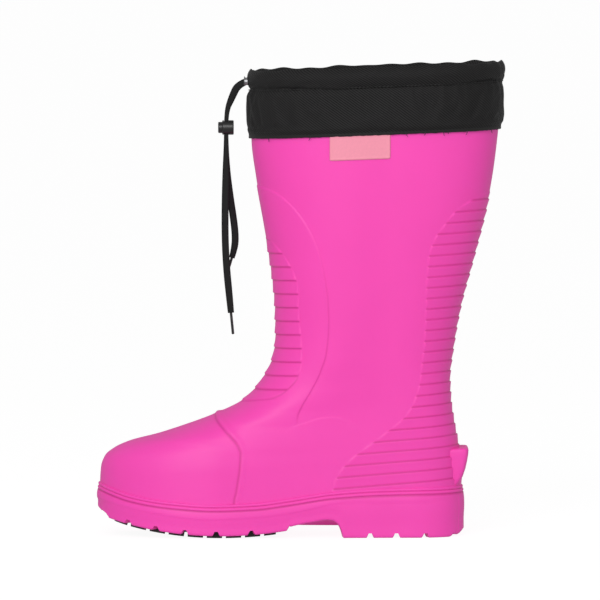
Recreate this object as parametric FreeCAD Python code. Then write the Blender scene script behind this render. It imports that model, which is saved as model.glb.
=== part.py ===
"""Tall insulated winter boot for the left foot: a moulded foam shell with rubber treads, a felt
inner boot on an insole, and a nylon collar that a drawcord and a spring cord lock close.

Frame: millimetres, +Z up, toe towards -X, heel towards +X, outer side of the foot towards -Y.
The origin lies on the floor under the middle of the heel.
"""

import FreeCAD
import Part

import math
import os

from FreeCAD import Placement, Rotation, Vector

# ---------------------------------------------------------------- shell form
TILT = 0.037            # every level of the boot rises this much per mm towards the heel
TILT_AT_X = 61.1        # where a level's height is its true height
RIM_LEVEL = 333.0       # top edge of the moulded shell
WALL = 5.0              # wall of the moulded shell
ROOF_LIFT = 4.0         # a wall under the sloping instep is measured this much higher
OUTLINE_POINTS = 56     # points round one level of the form
# Levels of the form that every surface is drawn through
LEG_LEVELS = (10, 30, 42, 52, 60, 66, 71, 75, 79, 83, 87, 91, 95, 99, 103.5, 108.5, 114.5, 122, 131,
              142, 156, 174, 196, 222, 250, 276, 298)
COLLAR_RISES = (-21, -12, -6, 0, 8, 15, 20, 25, 29.5, 34, 38, 41, 49)
FORM_LEVELS = sorted(set(LEG_LEVELS) | {RIM_LEVEL + rise for rise in COLLAR_RISES})

# Edges of the form by level: (level, x)
FRONT_EDGE = [(20, -236.5), (52, -237.5), (64, -236.8), (73, -233.5), (79, -226), (84, -214),
              (89, -192), (96, -167), (104, -143), (113, -124), (127, -110), (145, -100.5),
              (162, -97.8), (185, -98.2), (210, -100.5), (250, -107), (290, -114), (318, -117.5),
              (380, -118.5)]
BACK_EDGE = [(20, 48.5), (50, 48), (70, 46.2), (90, 42.6), (108, 40), (126, 39.2), (145, 41.4),
             (180, 47.5), (220, 58.2), (262, 68.8), (300, 75), (335, 78.4), (380, 80)]
# Half widths at the front and rear stations by level
FRONT_HALF_WIDTH = [(20, 50.5), (60, 50), (75, 48), (85, 45.2), (95, 42.2), (106, 40.5),
                    (122, 40.5), (145, 42.5), (200, 47.5), (260, 52.5), (320, 56), (380, 57.5)]
REAR_HALF_WIDTH = [(20, 37.5), (75, 36.5), (105, 37), (140, 39.5), (200, 45), (260, 50.5),
                   (320, 54.5), (380, 56)]
# Where the front and rear stations lie, by level: (level, x)
FRONT_STATION = [(20, -160), (70, -152), (85, -134), (96, -110), (106, -86), (122, -62),
                 (145, -47), (180, -40), (380, -38)]
REAR_STATION = [(20, 8), (75, 6), (105, 2), (140, -7), (200, -8), (380, -3)]
FRONT_ROUNDNESS = 2.15  # exponent of the outline's front end, 2 is an ellipse
REAR_ROUNDNESS = 2.25
INNER_WAIST_DIP = 6.5   # how far the arch side is drawn in under the instep
OUTER_WAIST_DIP = 1.5
WAIST_GONE_LEVEL = 125.0
TOE_SWING = 8.0         # how far the toe tip turns in towards the other foot
TOE_SWING_FROM_X = -140.0

# ---------------------------------------------------------------- sole
SOLE_LEDGE = 2.0        # the sole stands this far outside the upper
FOXING_LINE = [(-260, 49), (-238, 41.5), (-210, 33), (-178, 28.6), (-147, 26.8), (-115, 27.8),
               (-87, 31.2), (-54, 36), (-20, 38.3), (15, 39.2), (60, 39.8)]
FOREFOOT_LOW_X = -140.0
EDGE_LIFT = 2.2         # the moulded edge of the forefoot stands this far above its rubber tread
TOE_SPRING = 0.00150    # the sole rises by this times the square of the distance from its low point
ARCH_FRONT_X, ARCH_REAR_X = -90.0, -45.0
ARCH_STEP = 3.4         # the arch starts with a step of this height
ARCH_TOP_Z = 14.5
ARCH_INNER_Z = 5.0      # underside of the arch at its inner edge
HEEL_END_X = 43.0
HEEL_BEVEL = 6.5
TOE_TIP_Z = 20.0
LUG_NOTCH_BASE, LUG_NOTCH_TOP, LUG_NOTCH_DEPTH = 5.8, 2.6, 3.6
HEEL_NOTCHES_X = [-24.0, -3.3, 19.4, 41.0]
FOREFOOT_NOTCHES_X = [-232.0, -213.5, -192.0, -169.5, -145.0, -117.5]

# Rubber treads let into the sole
TREAD_BORDER = 11.0     # moulded border outside a tread
TREAD_DEPTH = 7.0       # how deep a tread's pocket is
TREAD_GAP = 0.2
FOREFOOT_TREAD_X = (-226.0, -98.0)
HEEL_TREAD_X = (-36.0, 36.0)
TREAD_GROOVE = 3.0
TREAD_GROOVE_DEPTH = 3.4
TREAD_GROOVE_PITCH = 15.0

# Kick-off spur on the heel
SPUR_HALF_WIDTH = 24.0
SPUR_TOP_Z = 68.5
SPUR_BACK_X = 53.5
SPUR_ROUND = 4.0

# ---------------------------------------------------------------- inside
FOOTBED = [(-260, 30), (-225, 24), (-190, 20), (-150, 18.5), (-110, 19.5), (-60, 23), (-10, 26),
           (60, 27)]
FIT_GAP = 0.3           # between pieces that lie against each other
LINER_GAP = 2.0         # the felt boot is this loose in the shell
LINER_WALL = 4.8
LINER_TOP_LEVEL = RIM_LEVEL + 5.0
LINER_SOLE = 4.0
INSOLE_THICK = 4.0
INSOLE_EDGE_GAP = 1.0

# ---------------------------------------------------------------- collar
HEM_LEVEL = RIM_LEVEL - 12.3
SEAM_LEVEL = RIM_LEVEL + 25.0   # the stitched line under the drawcord channel
TOP_LEVEL = RIM_LEVEL + 41.0
LINING_FOOT_LEVEL = RIM_LEVEL - 11.0
CLOTH = 1.3             # thickness of the doubled nylon
SEAM_GAP = 0.1
# Outside of the collar beyond the form, by level
COLLAR_FORM = [(HEM_LEVEL, 2.0), (RIM_LEVEL - 6, 2.5), (RIM_LEVEL + 2, 3.6), (RIM_LEVEL + 13, 4.4),
               (SEAM_LEVEL - 5, 3.4), (SEAM_LEVEL, 1.7), (SEAM_LEVEL + 4.5, 3.6),
               (SEAM_LEVEL + 9, 4.2), (TOP_LEVEL - 3, 3.2), (TOP_LEVEL, 1.0)]
# Inside of the lining, beyond the form
LINING_FORM = [(LINING_FOOT_LEVEL, -6.5), (RIM_LEVEL + 2, -6.5), (RIM_LEVEL + 8, -4.6),
               (RIM_LEVEL + 17, -3.2), (SEAM_LEVEL, -1.5), (SEAM_LEVEL + 4.5, -4.6),
               (SEAM_LEVEL + 9, -4.9), (TOP_LEVEL - 3, -4.0), (TOP_LEVEL, -1.8)]
LINING_CLOTH = 1.1
BINDING_HEIGHT = 4.4
BINDING_THICK = 2.3

LABEL_X = (-56.0, -8.5)  # the label's two ends
LABEL_DROP = 19.0
LABEL_THICK = 0.9

# ---------------------------------------------------------------- drawcord
CORD_DIAMETER = 3.0
CHANNEL_LEVEL = RIM_LEVEL + 32.0
EYELET_HOLE, EYELET_BARREL, EYELET_FLANGE = 4.8, 5.8, 7.6
EYELET_FLANGE_THICK = 0.7
EYELET_LENGTH = 3.0
EYELET_FIT = 0.15       # radial gap between an eyelet and the cloth
AGLET_DIAMETER, AGLET_LENGTH = 2.1, 17.0

# Free ends of the cord, from the eyelets to the tips, for a rim and a collar front at these places
LACES_FOR_RIM_LEVEL, LACES_FOR_FRONT_X = 333.0, -118.3
NEAR_LACE = [(-115.4, -6.5, 359.9), (-127.5, -5.7, 357.2), (-133.2, -3.5, 344.9),
             (-137.3, -1.8, 334.5), (-137.5, -1.7, 311.0), (-137.8, -1.8, 284.0),
             (-138.4, -2.3, 256.0), (-138.3, -3.0, 232.0), (-137.1, -3.6, 210.0),
             (-135.2, -3.8, 191.0), (-133.7, -3.7, 175.5)]
FAR_LACE = [(-115.4, 6.5, 359.9), (-127.5, 5.7, 357.2), (-133.2, 3.5, 344.9),
            (-137.3, 1.8, 334.5), (-137.5, 1.7, 311.0), (-136.9, 1.8, 287.0),
            (-134.2, 2.2, 266.0), (-131.6, 2.6, 249.0), (-130.3, 3.0, 237.0),
            (-130.6, 3.4, 227.0), (-133.1, 3.7, 218.6)]

# ---------------------------------------------------------------- cord lock
LOCK_X, LOCK_Z = -137.5, 321.7      # where the cords pass through the lock
LOCK_LACE_Y = 1.7                   # each cord's distance from the lock's middle
BARREL_LENGTH, BARREL_DIAMETER = 9.1, 11.5
BARREL_MOUTH_TO_CORD = 3.1
BARREL_END_WALL = 1.0
BARREL_BORE = 9.0
BUTTON_PLAY = 0.08                  # radial play of the button in the barrel
BUTTON_PROUD = 3.2
BUTTON_TRAVEL = 1.4
BUTTON_END_WALL = 0.8
CORD_PLAY = 0.3                     # between a cord and the lock's holes
SPRING_DIAMETER, SPRING_WIRE, SPRING_TURNS = 6.4, 0.4, 2.5
LOCK_ROUND = 0.8


# ================================================================ helpers
def smooth_through(points):
    """A function that runs smoothly through (position, value) points and never overshoots them."""
    xs = [p[0] for p in points]
    ys = [p[1] for p in points]
    steps = [xs[i + 1] - xs[i] for i in range(len(xs) - 1)]
    slopes = [(ys[i + 1] - ys[i]) / steps[i] for i in range(len(steps))]
    tangents = [slopes[0]]
    for i in range(1, len(slopes)):
        before, after = slopes[i - 1], slopes[i]
        if before * after <= 0:
            tangents.append(0.0)
        else:
            a = 2 * steps[i] + steps[i - 1]
            b = steps[i] + 2 * steps[i - 1]
            tangents.append((a + b) / (a / before + b / after))
    tangents.append(slopes[-1])

    def value(x):
        if x <= xs[0]:
            return ys[0]
        if x >= xs[-1]:
            return ys[-1]
        i = max(k for k in range(len(steps)) if xs[k] <= x)
        t = (x - xs[i]) / steps[i]
        return (ys[i] * (1 + 2 * t) * (1 - t) ** 2 + ys[i + 1] * t * t * (3 - 2 * t)
                + steps[i] * (tangents[i] * t * (1 - t) ** 2 - tangents[i + 1] * t * t * (1 - t)))

    return value


front_edge = smooth_through(FRONT_EDGE)
back_edge = smooth_through(BACK_EDGE)
front_half_width = smooth_through(FRONT_HALF_WIDTH)
rear_half_width = smooth_through(REAR_HALF_WIDTH)
front_station = smooth_through(FRONT_STATION)
rear_station = smooth_through(REAR_STATION)
foxing_height = smooth_through(FOXING_LINE)
footbed_height = smooth_through(FOOTBED)
collar_form = smooth_through(COLLAR_FORM)
lining_form = smooth_through(LINING_FORM)


def height_of(level, x):
    """True height of a level at x."""
    return level + TILT * (x - TILT_AT_X)


def hung(x, y, z):
    """A point of the laces, moved with the collar's front."""
    return (x + front_edge(CHANNEL_LEVEL) - LACES_FOR_FRONT_X, y, z + RIM_LEVEL - LACES_FOR_RIM_LEVEL)


near_route = [hung(*point) for point in NEAR_LACE]
far_route = [hung(*point) for point in FAR_LACE]
lock_x, _, lock_z = hung(LOCK_X, 0.0, LOCK_Z)


def side_points(level, inset, lift, side, dense=160):
    """Points from the toe or front tip to the heel tip, on the outer (-1) or inner (+1) side."""
    form = level + lift
    front, back = front_edge(form) + inset, back_edge(form) - inset
    fore, rear = front_station(form), rear_station(form)
    wide, narrow = front_half_width(form) - inset, rear_half_width(form) - inset
    waist = max(0.0, 1 - max(0.0, level - 60) / (WAIST_GONE_LEVEL - 60))
    dip = waist * (INNER_WAIST_DIP if side > 0 else OUTER_WAIST_DIP)
    points = []
    for i in range(dense + 1):
        angle = math.pi / 2 * i / dense
        x = fore - (fore - front) * math.cos(angle) ** (2 / FRONT_ROUNDNESS)
        points.append((x, wide * math.sin(angle) ** (2 / FRONT_ROUNDNESS)))
    for i in range(1, dense):
        s = i / dense
        width = wide + (narrow - wide) * s * s * (3 - 2 * s) - dip * math.sin(math.pi * s) ** 2
        points.append((fore + (rear - fore) * s, width))
    for i in range(dense + 1):
        angle = math.pi / 2 * (1 - i / dense)
        x = rear + (back - rear) * math.cos(angle) ** (2 / REAR_ROUNDNESS)
        points.append((x, narrow * math.sin(angle) ** (2 / REAR_ROUNDNESS)))
    swing = TOE_SWING / (front_edge(20) - TOE_SWING_FROM_X) ** 2
    return [(x, side * w + swing * min(0.0, x - TOE_SWING_FROM_X) ** 2) for x, w in points]


def evenly(points, count):
    """count + 1 points spaced evenly along a run of points."""
    along = [0.0]
    for a, b in zip(points, points[1:]):
        along.append(along[-1] + math.hypot(b[0] - a[0], b[1] - a[1]))
    found, k = [], 0
    for i in range(count + 1):
        at = along[-1] * i / count
        while k < len(along) - 2 and along[k + 1] < at:
            k += 1
        t = (at - along[k]) / max(along[k + 1] - along[k], 1e-9)
        found.append(tuple(a + (b - a) * t for a, b in zip(points[k], points[k + 1])))
    return found


def outline(level, inset=0.0, lift=0.0, count=OUTLINE_POINTS):
    """Points round the form at a level, from the front tip along the outer side and back."""
    half = count // 2
    outer = evenly(side_points(level, inset, lift, -1), half)
    inner = evenly(side_points(level, inset, lift, +1), half)
    ring = outer[:-1] + inner[:0:-1]
    return [Vector(x, y, height_of(level, x)) for x, y in ring]


def ring_wire(points):
    """A closed smooth wire through points."""
    curve = Part.BSplineCurve()
    steps = [i / len(points) for i in range(len(points) + 1)]
    curve.interpolate(Points=points, PeriodicFlag=True, Parameters=steps)
    return Part.Wire([curve.toShape()])


def form_levels(low, high):
    """The form's levels from low to high, both ends included."""
    return [low] + [level for level in FORM_LEVELS if low + 2 < level < high - 2] + [high]


def form_solid(sections):
    """The solid through (level, inset, lift) sections of the form."""
    return Part.makeLoft([ring_wire(outline(*s)) for s in sections], True, True)


def side_prism(points, half_depth=90.0):
    """The solid whose side view is the closed run of (x, z) points."""
    corners = [Vector(x, -half_depth, z) for x, z in points]
    face = Part.Face(Part.makePolygon(corners + corners[:1]))
    return face.extrude(Vector(0, 2 * half_depth, 0))


def curved_side_prism(top, bottom, x_range, half_depth=90.0, steps=14):
    """The solid between two height curves, seen from the side, each a smooth edge."""
    a, b = x_range
    places = [a + (b - a) * i / steps for i in range(steps + 1)]
    edges = []
    for height in (top, bottom):
        curve = Part.BSplineCurve()
        curve.interpolate([Vector(x, -half_depth, height(x)) for x in places])
        edges.append(curve.toShape())
    corners = [[Vector(x, -half_depth, h(x)) for h in (top, bottom)] for x in x_range]
    ends = [Part.LineSegment(*pair).toShape() for pair in corners]
    wire = Part.Wire(Part.__sortEdges__(edges + ends))
    return Part.Face(wire).extrude(Vector(0, 2 * half_depth, 0))


def tube(points, diameter):
    """A round cord through a route of straight runs joined by tangent arcs, and its path length."""
    edges, radii, start = [], [], points[0]
    for before, corner, after in zip(points, points[1:], points[2:]):
        to, away = corner - before, after - corner
        turn = to.getAngle(away)
        reach = 0.45 * min(to.Length, away.Length)
        radii.append(reach / math.tan(turn / 2))
        enter = corner - Vector(to).normalize() * reach
        leave = corner + Vector(away).normalize() * reach
        middle = (enter + leave) * 0.5
        bulge = radii[-1] * (1 / math.cos(turn / 2) - 1)
        crown = corner + (middle - corner).normalize() * bulge
        edges += [Part.LineSegment(start, enter).toShape(),
                  Part.Arc(enter, crown, leave).toShape()]
        start = leave
    edges.append(Part.LineSegment(start, points[-1]).toShape())
    path = Part.Wire(edges)
    ring = Part.Wire([Part.makeCircle(diameter / 2, points[0], points[1] - points[0])])
    solid = path.makePipeShell([ring], True, True)
    return solid, path.Length, radii


# ================================================================ sole and shell
def edge_bottom(x):
    """Underside of the moulded forefoot edge."""
    return EDGE_LIFT + TOE_SPRING * (x - FOREFOOT_LOW_X) ** 2


def tread_bottom(x):
    """Underside of the forefoot tread, which touches the floor at its low point."""
    return TOE_SPRING * (x - FOREFOOT_LOW_X) ** 2


def arch_ramp():
    """The arch's underside comes down towards the inner side of the foot."""
    front = ARCH_FRONT_X + 0.5
    section = [(-20, ARCH_TOP_Z + 2), (4, ARCH_TOP_Z), (34, ARCH_INNER_Z), (80, ARCH_INNER_Z),
               (80, ARCH_TOP_Z + 6), (-20, ARCH_TOP_Z + 6)]
    face = Part.Face(Part.makePolygon([Vector(front, y, z) for y, z in section + section[:1]]))
    return face.extrude(Vector(ARCH_REAR_X + 2 - front, 0, 0))


def sole_block():
    """The moulded sole: a foot outline cut to its side view."""
    plan = [Vector(p.x, p.y, -1.0) for p in outline(45, -SOLE_LEDGE)]
    block = Part.Face(ring_wire(plan)).extrude(Vector(0, 0, 70))
    back = back_edge(45) + SOLE_LEDGE
    toe = front_edge(45) - SOLE_LEDGE
    low = [(toe - 5, TOE_TIP_Z + 4), (toe + 4, TOE_TIP_Z - 2)]
    low += [(x, edge_bottom(x)) for x in range(-224, int(ARCH_FRONT_X) - 5, 12)]
    low += [(ARCH_FRONT_X, edge_bottom(ARCH_FRONT_X)),
            (ARCH_FRONT_X + 3, edge_bottom(ARCH_FRONT_X) + ARCH_STEP),
            (ARCH_FRONT_X + 18, ARCH_TOP_Z - 2), (ARCH_REAR_X - 14, ARCH_TOP_Z),
            (ARCH_REAR_X - 7, ARCH_TOP_Z - 1.2), (ARCH_REAR_X - 3, ARCH_TOP_Z - 5),
            (ARCH_REAR_X - 1, 5), (ARCH_REAR_X, 0), (HEEL_END_X, 0),
            (back - 1.5, HEEL_BEVEL), (back + 5, HEEL_BEVEL + 6)]
    high = [(x, foxing_height(x)) for x in (55, 15, -20, -54, -87, -115, -147, -178, -210, -245)]
    return block.common(side_prism(low + high)).fuse(block.common(arch_ramp()))


def lug_notch(x, floor):
    """A notch across the sole's edge, open downwards."""
    base, top = LUG_NOTCH_BASE / 2, LUG_NOTCH_TOP / 2
    z = floor + LUG_NOTCH_DEPTH
    return side_prism([(x - base, floor - 2), (x - base, floor), (x - top, z), (x + top, z),
                       (x + base, floor), (x + base, floor - 2)])


def tread_plan(x_range, border, low, high):
    """An upright block inside the sole's outline, from one x to another."""
    plan = [Vector(p.x, p.y, low) for p in outline(45, border - SOLE_LEDGE)]
    block = Part.Face(ring_wire(plan)).extrude(Vector(0, 0, high - low))
    size = Vector(x_range[1] - x_range[0], 140, high - low)
    return block.common(Part.makeBox(size.x, size.y, size.z, Vector(x_range[0], -70, low)))


def forefoot_layer(x_range, border, lower, upper):
    """A layer of the forefoot between two heights above the tread's underside."""
    block = tread_plan(x_range, border, -5, 40)
    layer = curved_side_prism(lambda x: tread_bottom(x) + upper,
                              lambda x: tread_bottom(x) + lower, (-245.0, -80.0))
    return block.common(layer)


def grooves(x_range, floor):
    """Cross grooves and one long groove that leave a tread's lugs."""
    cuts = []
    count = int((x_range[1] - x_range[0]) / TREAD_GROOVE_PITCH)
    for i in range(1, count + 1):
        x = x_range[0] + TREAD_GROOVE_PITCH * (i - 0.3)
        z = floor(x) - 1
        cuts.append(Part.makeBox(TREAD_GROOVE, 140, TREAD_GROOVE_DEPTH + 1, Vector(x, -70, z)))
    return cuts


def shell():
    """The one-piece moulded shell: upper, sole and spur, hollow, with pockets for the treads."""
    body = form_solid([(level, 0.0, 0.0) for level in form_levels(FORM_LEVELS[0], RIM_LEVEL)])
    upper_only = curved_side_prism(lambda x: 400, lambda x: foxing_height(x) - 3, (-260.0, 90.0))
    body = body.common(upper_only)
    body = body.fuse([sole_block(), spur()])
    body = body.cut(cavity(0.0, TOP_LEVEL, 0.0))
    cuts = [lug_notch(x, 0.0) for x in HEEL_NOTCHES_X]
    cuts += [lug_notch(x, edge_bottom(x)) for x in FOREFOOT_NOTCHES_X]
    cuts.append(forefoot_layer(FOREFOOT_TREAD_X, TREAD_BORDER, -3, TREAD_DEPTH))
    cuts.append(tread_plan(HEEL_TREAD_X, TREAD_BORDER, -3, TREAD_DEPTH))
    return body.cut(cuts).removeSplitter()


def spur():
    """The ledge on the heel that the other foot steps on to pull the boot off."""
    z = SPUR_TOP_Z
    side = [(30, z), (SPUR_BACK_X - 3, z + 1), (SPUR_BACK_X, z - 1), (SPUR_BACK_X - 0.5, z - 10),
            (SPUR_BACK_X - 4, z - 24), (SPUR_BACK_X - 7, z - 29), (30, z - 29)]
    block = side_prism(side, SPUR_HALF_WIDTH)
    upright = [e for e in block.Edges
               if abs(e.BoundBox.ZLength) > 5 and e.BoundBox.YLength < 1e-6
               and e.BoundBox.XMax > SPUR_BACK_X - 1]
    return block.makeFillet(SPUR_ROUND, upright)


# ================================================================ inside
def cavity(extra, top_level, floor_rise):
    """The hollow inside the shell, extra smaller all round, above the footbed plus floor_rise."""
    inset = WALL + extra
    roof = ROOF_LIFT + 0.9 * extra
    lift_at = smooth_through([(15, roof), (120, roof), (170, 0.0)])
    sections = []
    for form in form_levels(FORM_LEVELS[0], top_level):
        lift = lift_at(form)
        sections.append((form - lift, inset, lift))
    body = form_solid(sections)
    below = curved_side_prism(lambda x: footbed_height(x) + floor_rise, lambda x: -30.0,
                              (-270.0, 110.0))
    return body.cut(below)


def liner():
    """The felt inner boot."""
    outside = cavity(LINER_GAP, LINER_TOP_LEVEL, FIT_GAP)
    inside = cavity(LINER_GAP + LINER_WALL, TOP_LEVEL, FIT_GAP + LINER_SOLE)
    return outside.cut(inside)


def insole():
    """The loose insole on the felt boot's floor."""
    floor = FIT_GAP + LINER_SOLE + FIT_GAP
    space = cavity(LINER_GAP + LINER_WALL + INSOLE_EDGE_GAP, 120, floor)
    layer = curved_side_prism(lambda x: footbed_height(x) + floor + INSOLE_THICK,
                              lambda x: footbed_height(x) - 10, (-258.0, 100.0))
    return space.common(layer)


# ================================================================ collar
def band(outside, inside, low, high):
    """A ring of cloth between two offsets from the form, given as functions of the level."""
    levels = form_levels(low, high)
    outer = form_solid([(level, -outside(level), 0.0) for level in levels])
    past = [(low - 4, inside(low))] + [(level, inside(level)) for level in levels]
    past.append((high + 4, inside(high)))
    inner = form_solid([(level, -offset, 0.0) for level, offset in past])
    return outer.cut(inner)


def collar_inside(level):
    """Clear of the shell below its rim, and one cloth in from the outside above it."""
    snug = collar_form(level) - CLOTH
    return max(FIT_GAP, snug)


def eyelet_place(side):
    """Where a lace passes through the collar's front, and its direction there."""
    first, second = [Vector(*p) for p in near_route[:2]]
    x = front_edge(CHANNEL_LEVEL) - collar_form(CHANNEL_LEVEL) - FIT_GAP - EYELET_FLANGE_THICK
    along = second - first
    place = first + along * ((x - first.x) / along.x)
    return Vector(place.x, side * abs(place.y), place.z)


def collar():
    cloth = band(collar_form, collar_inside, HEM_LEVEL + BINDING_HEIGHT + SEAM_GAP, TOP_LEVEL)
    radius = EYELET_BARREL / 2 + EYELET_FIT
    holes = [Part.makeCylinder(radius, 9.5, eyelet_place(side) - Vector(2, 0, 0), Vector(1, 0, 0))
             for side in (-1, 1)]
    return cloth.cut(holes)


def lining():
    return band(lambda level: lining_form(level) + LINING_CLOTH, lining_form,
                LINING_FOOT_LEVEL, TOP_LEVEL)


def binding():
    """The tape that binds the collar's lower edge."""
    return band(lambda level: FIT_GAP + BINDING_THICK, lambda level: FIT_GAP,
                HEM_LEVEL, HEM_LEVEL + BINDING_HEIGHT)


def label():
    """A soft tab on the outer side, just under the collar's lower edge."""
    low, high = HEM_LEVEL - LABEL_DROP, HEM_LEVEL - FIT_GAP
    ring = band(lambda level: FIT_GAP + LABEL_THICK, lambda level: FIT_GAP, low, high)
    window = Part.makeBox(LABEL_X[1] - LABEL_X[0], 60, 40, Vector(LABEL_X[0], -75, low - 10))
    return ring.common(window)


# ================================================================ drawcord
def eyelet(side):
    """A pressed metal eyelet through the collar's front."""
    axis = Vector(1, 0, 0)
    at = eyelet_place(side)
    flange = Part.makeCylinder(EYELET_FLANGE / 2, EYELET_FLANGE_THICK, at, axis)
    barrel = Part.makeCylinder(EYELET_BARREL / 2, EYELET_LENGTH, at, axis)
    hole = Part.makeCylinder(EYELET_HOLE / 2, EYELET_LENGTH + 2, at - axis, axis)
    ring = flange.fuse(barrel).cut(hole).removeSplitter()
    rim = [e for e in ring.Edges if abs(e.Length - math.pi * EYELET_FLANGE) < 0.1]
    return ring.makeFillet(EYELET_FLANGE_THICK * 0.45, rim)


def channel_cord():
    """The cord inside the channel, from one lace round the back to the other."""
    ring = outline(CHANNEL_LEVEL, 0.1, 0.0, 20)
    end_y = abs(near_route[0][1]) + CORD_DIAMETER / 2 + CORD_PLAY
    start = Vector(ring[0].x + 0.7, -end_y, ring[0].z)
    finish = Vector(ring[0].x + 0.7, end_y, ring[0].z)
    return tube([start] + ring[1:] + [finish], CORD_DIAMETER)


def lace(points):
    return tube([Vector(*p) for p in points], CORD_DIAMETER)


def aglet(points):
    """The hard tip on a cord's end, in line with its last run."""
    a, b = Vector(*points[-2]), Vector(*points[-1])
    along = (b - a).normalize()
    tip = Part.makeCylinder(AGLET_DIAMETER / 2, AGLET_LENGTH, b + along * 0.02, along)
    return tip.makeFillet(AGLET_DIAMETER * 0.3, [tip.Edges[0]])


# ================================================================ cord lock
def slot_cutter(x_low, x_high, half_y, height):
    """A through slot along Z with round ends, for the two cords side by side."""
    middle, radius = (x_low + x_high) / 2, (x_high - x_low) / 2
    radius_y = min(radius, half_y)
    box = Part.makeBox(x_high - x_low, 2 * half_y, height,
                       Vector(x_low, -half_y, lock_z - height / 2))
    upright = [e for e in box.Edges if e.BoundBox.ZLength > height - 1]
    return box.makeFillet(0.45 * radius_y, upright)


def lock_mouth_x():
    return lock_x - BARREL_MOUTH_TO_CORD


def lock_barrel():
    """The lock's outer barrel, open towards the button."""
    axis = Vector(1, 0, 0)
    mouth = Vector(lock_mouth_x(), 0, lock_z)
    body = Part.makeCylinder(BARREL_DIAMETER / 2, BARREL_LENGTH, mouth, axis)
    rims = [e for e in body.Edges if abs(e.Length - math.pi * BARREL_DIAMETER) < 0.1]
    body = body.makeFillet(LOCK_ROUND, rims)
    bore = Part.makeCylinder(BARREL_BORE / 2, BARREL_LENGTH - BARREL_END_WALL, mouth, axis)
    half = CORD_DIAMETER / 2 + CORD_PLAY
    cords = slot_cutter(lock_x - half, lock_x + half, LOCK_LACE_Y + half, 30)
    return body.cut([bore, cords])


def lock_button():
    """The sprung button, with a slot long enough for its travel."""
    axis = Vector(1, 0, 0)
    start = lock_mouth_x() - BUTTON_PROUD
    slot_low, slot_high = lock_mouth_x(), lock_x + CORD_DIAMETER / 2 + 0.2
    length = slot_high + BUTTON_END_WALL - start
    radius = BARREL_BORE / 2 - BUTTON_PLAY
    body = Part.makeCylinder(radius, length, Vector(start, 0, lock_z), axis)
    face = [e for e in body.Edges if e.BoundBox.XMax < start + 0.01]
    body = body.makeFillet(LOCK_ROUND, face)
    half = CORD_DIAMETER / 2 + CORD_PLAY
    return body.cut(slot_cutter(slot_low, slot_high, LOCK_LACE_Y + half, 30))


def lock_spring():
    """The coil spring between the button and the barrel's end."""
    start = lock_x + CORD_DIAMETER / 2 + 0.2 + BUTTON_END_WALL + SPRING_WIRE / 2 + 0.05
    end = lock_mouth_x() + BARREL_LENGTH - BARREL_END_WALL - SPRING_WIRE / 2 - 0.05
    radius = (SPRING_DIAMETER - SPRING_WIRE) / 2
    helix = Part.makeHelix((end - start) / SPRING_TURNS, end - start, radius)
    wire = Part.Wire([Part.makeCircle(SPRING_WIRE / 2, Vector(radius, 0, 0), Vector(0, 1, 0))])
    spring = Part.Wire(helix).makePipeShell([wire], True, True)
    spring.Placement = Placement(Vector(start, 0, lock_z), Rotation(Vector(0, 0, 1), Vector(1, 0, 0)))
    return spring


# ================================================================ build
def forefoot_tread():
    pad = forefoot_layer((FOREFOOT_TREAD_X[0] + TREAD_GAP, FOREFOOT_TREAD_X[1] - TREAD_GAP),
                         TREAD_BORDER + TREAD_GAP, 0.0, TREAD_DEPTH - TREAD_GAP)
    return pad.cut(grooves(FOREFOOT_TREAD_X, tread_bottom))


def heel_tread():
    pad = tread_plan((HEEL_TREAD_X[0] + TREAD_GAP, HEEL_TREAD_X[1] - TREAD_GAP),
                     TREAD_BORDER + TREAD_GAP, 0.0, TREAD_DEPTH - TREAD_GAP)
    inside = [x for x in HEEL_NOTCHES_X if HEEL_TREAD_X[0] < x < HEEL_TREAD_X[1]]
    return pad.cut([lug_notch(x, 0.0) for x in inside])


def main():
    os.makedirs("parts", exist_ok=True)
    ring, ring_length, _ = channel_cord()
    near, near_length, near_radii = lace(near_route)
    far, far_length, far_radii = lace(far_route)
    section = math.pi * CORD_DIAMETER ** 2 / 4
    for name, solid, length in (("channel cord", ring, ring_length), ("near lace", near, near_length),
                                ("far lace", far, far_length)):
        print(f"{name}: {length:.1f} mm, volume ratio {solid.Volume / (section * length):.4f}")
    for name, radii in (("near", near_radii), ("far", far_radii)):
        print(name, "lace radii:", [round(r, 1) for r in radii])
    pieces = {
        "boot_shell": shell(),
        "forefoot_tread": forefoot_tread(),
        "heel_tread": heel_tread(),
        "felt_liner": liner(),
        "insole": insole(),
        "collar_outer": collar(),
        "collar_lining": lining(),
        "collar_binding": binding(),
        "side_label": label(),
        "eyelet_outer": eyelet(-1),
        "eyelet_inner": eyelet(1),
        "channel_cord": ring,
        "lace_near": near,
        "lace_far": far,
        "aglet_near": aglet(near_route),
        "aglet_far": aglet(far_route),
        "lock_barrel": lock_barrel(),
        "lock_button": lock_button(),
        "lock_spring": lock_spring(),
    }
    for name, shape in pieces.items():
        box = shape.optimalBoundingBox(True)
        print(f"{name}: valid {shape.isValid()}, solids {len(shape.Solids)}, "
              f"volume {shape.Volume:.0f}, x {box.XMin:.1f}..{box.XMax:.1f}, "
              f"y {box.YMin:.1f}..{box.YMax:.1f}, z {box.ZMin:.1f}..{box.ZMax:.1f}")
        shape.exportStep(os.path.join("parts", name + ".step"))


main()
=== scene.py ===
# %% [markdown]
# # A tall moulded winter boot
#
# This lesson builds the looks of a left winter boot: a one-piece foam shell with moulded ribs, rubber
# treads, a felt inner boot, and a gathered nylon collar with a flat drawcord and a cord lock.
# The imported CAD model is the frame. Everything made here stays where that frame puts it.

import math

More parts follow.
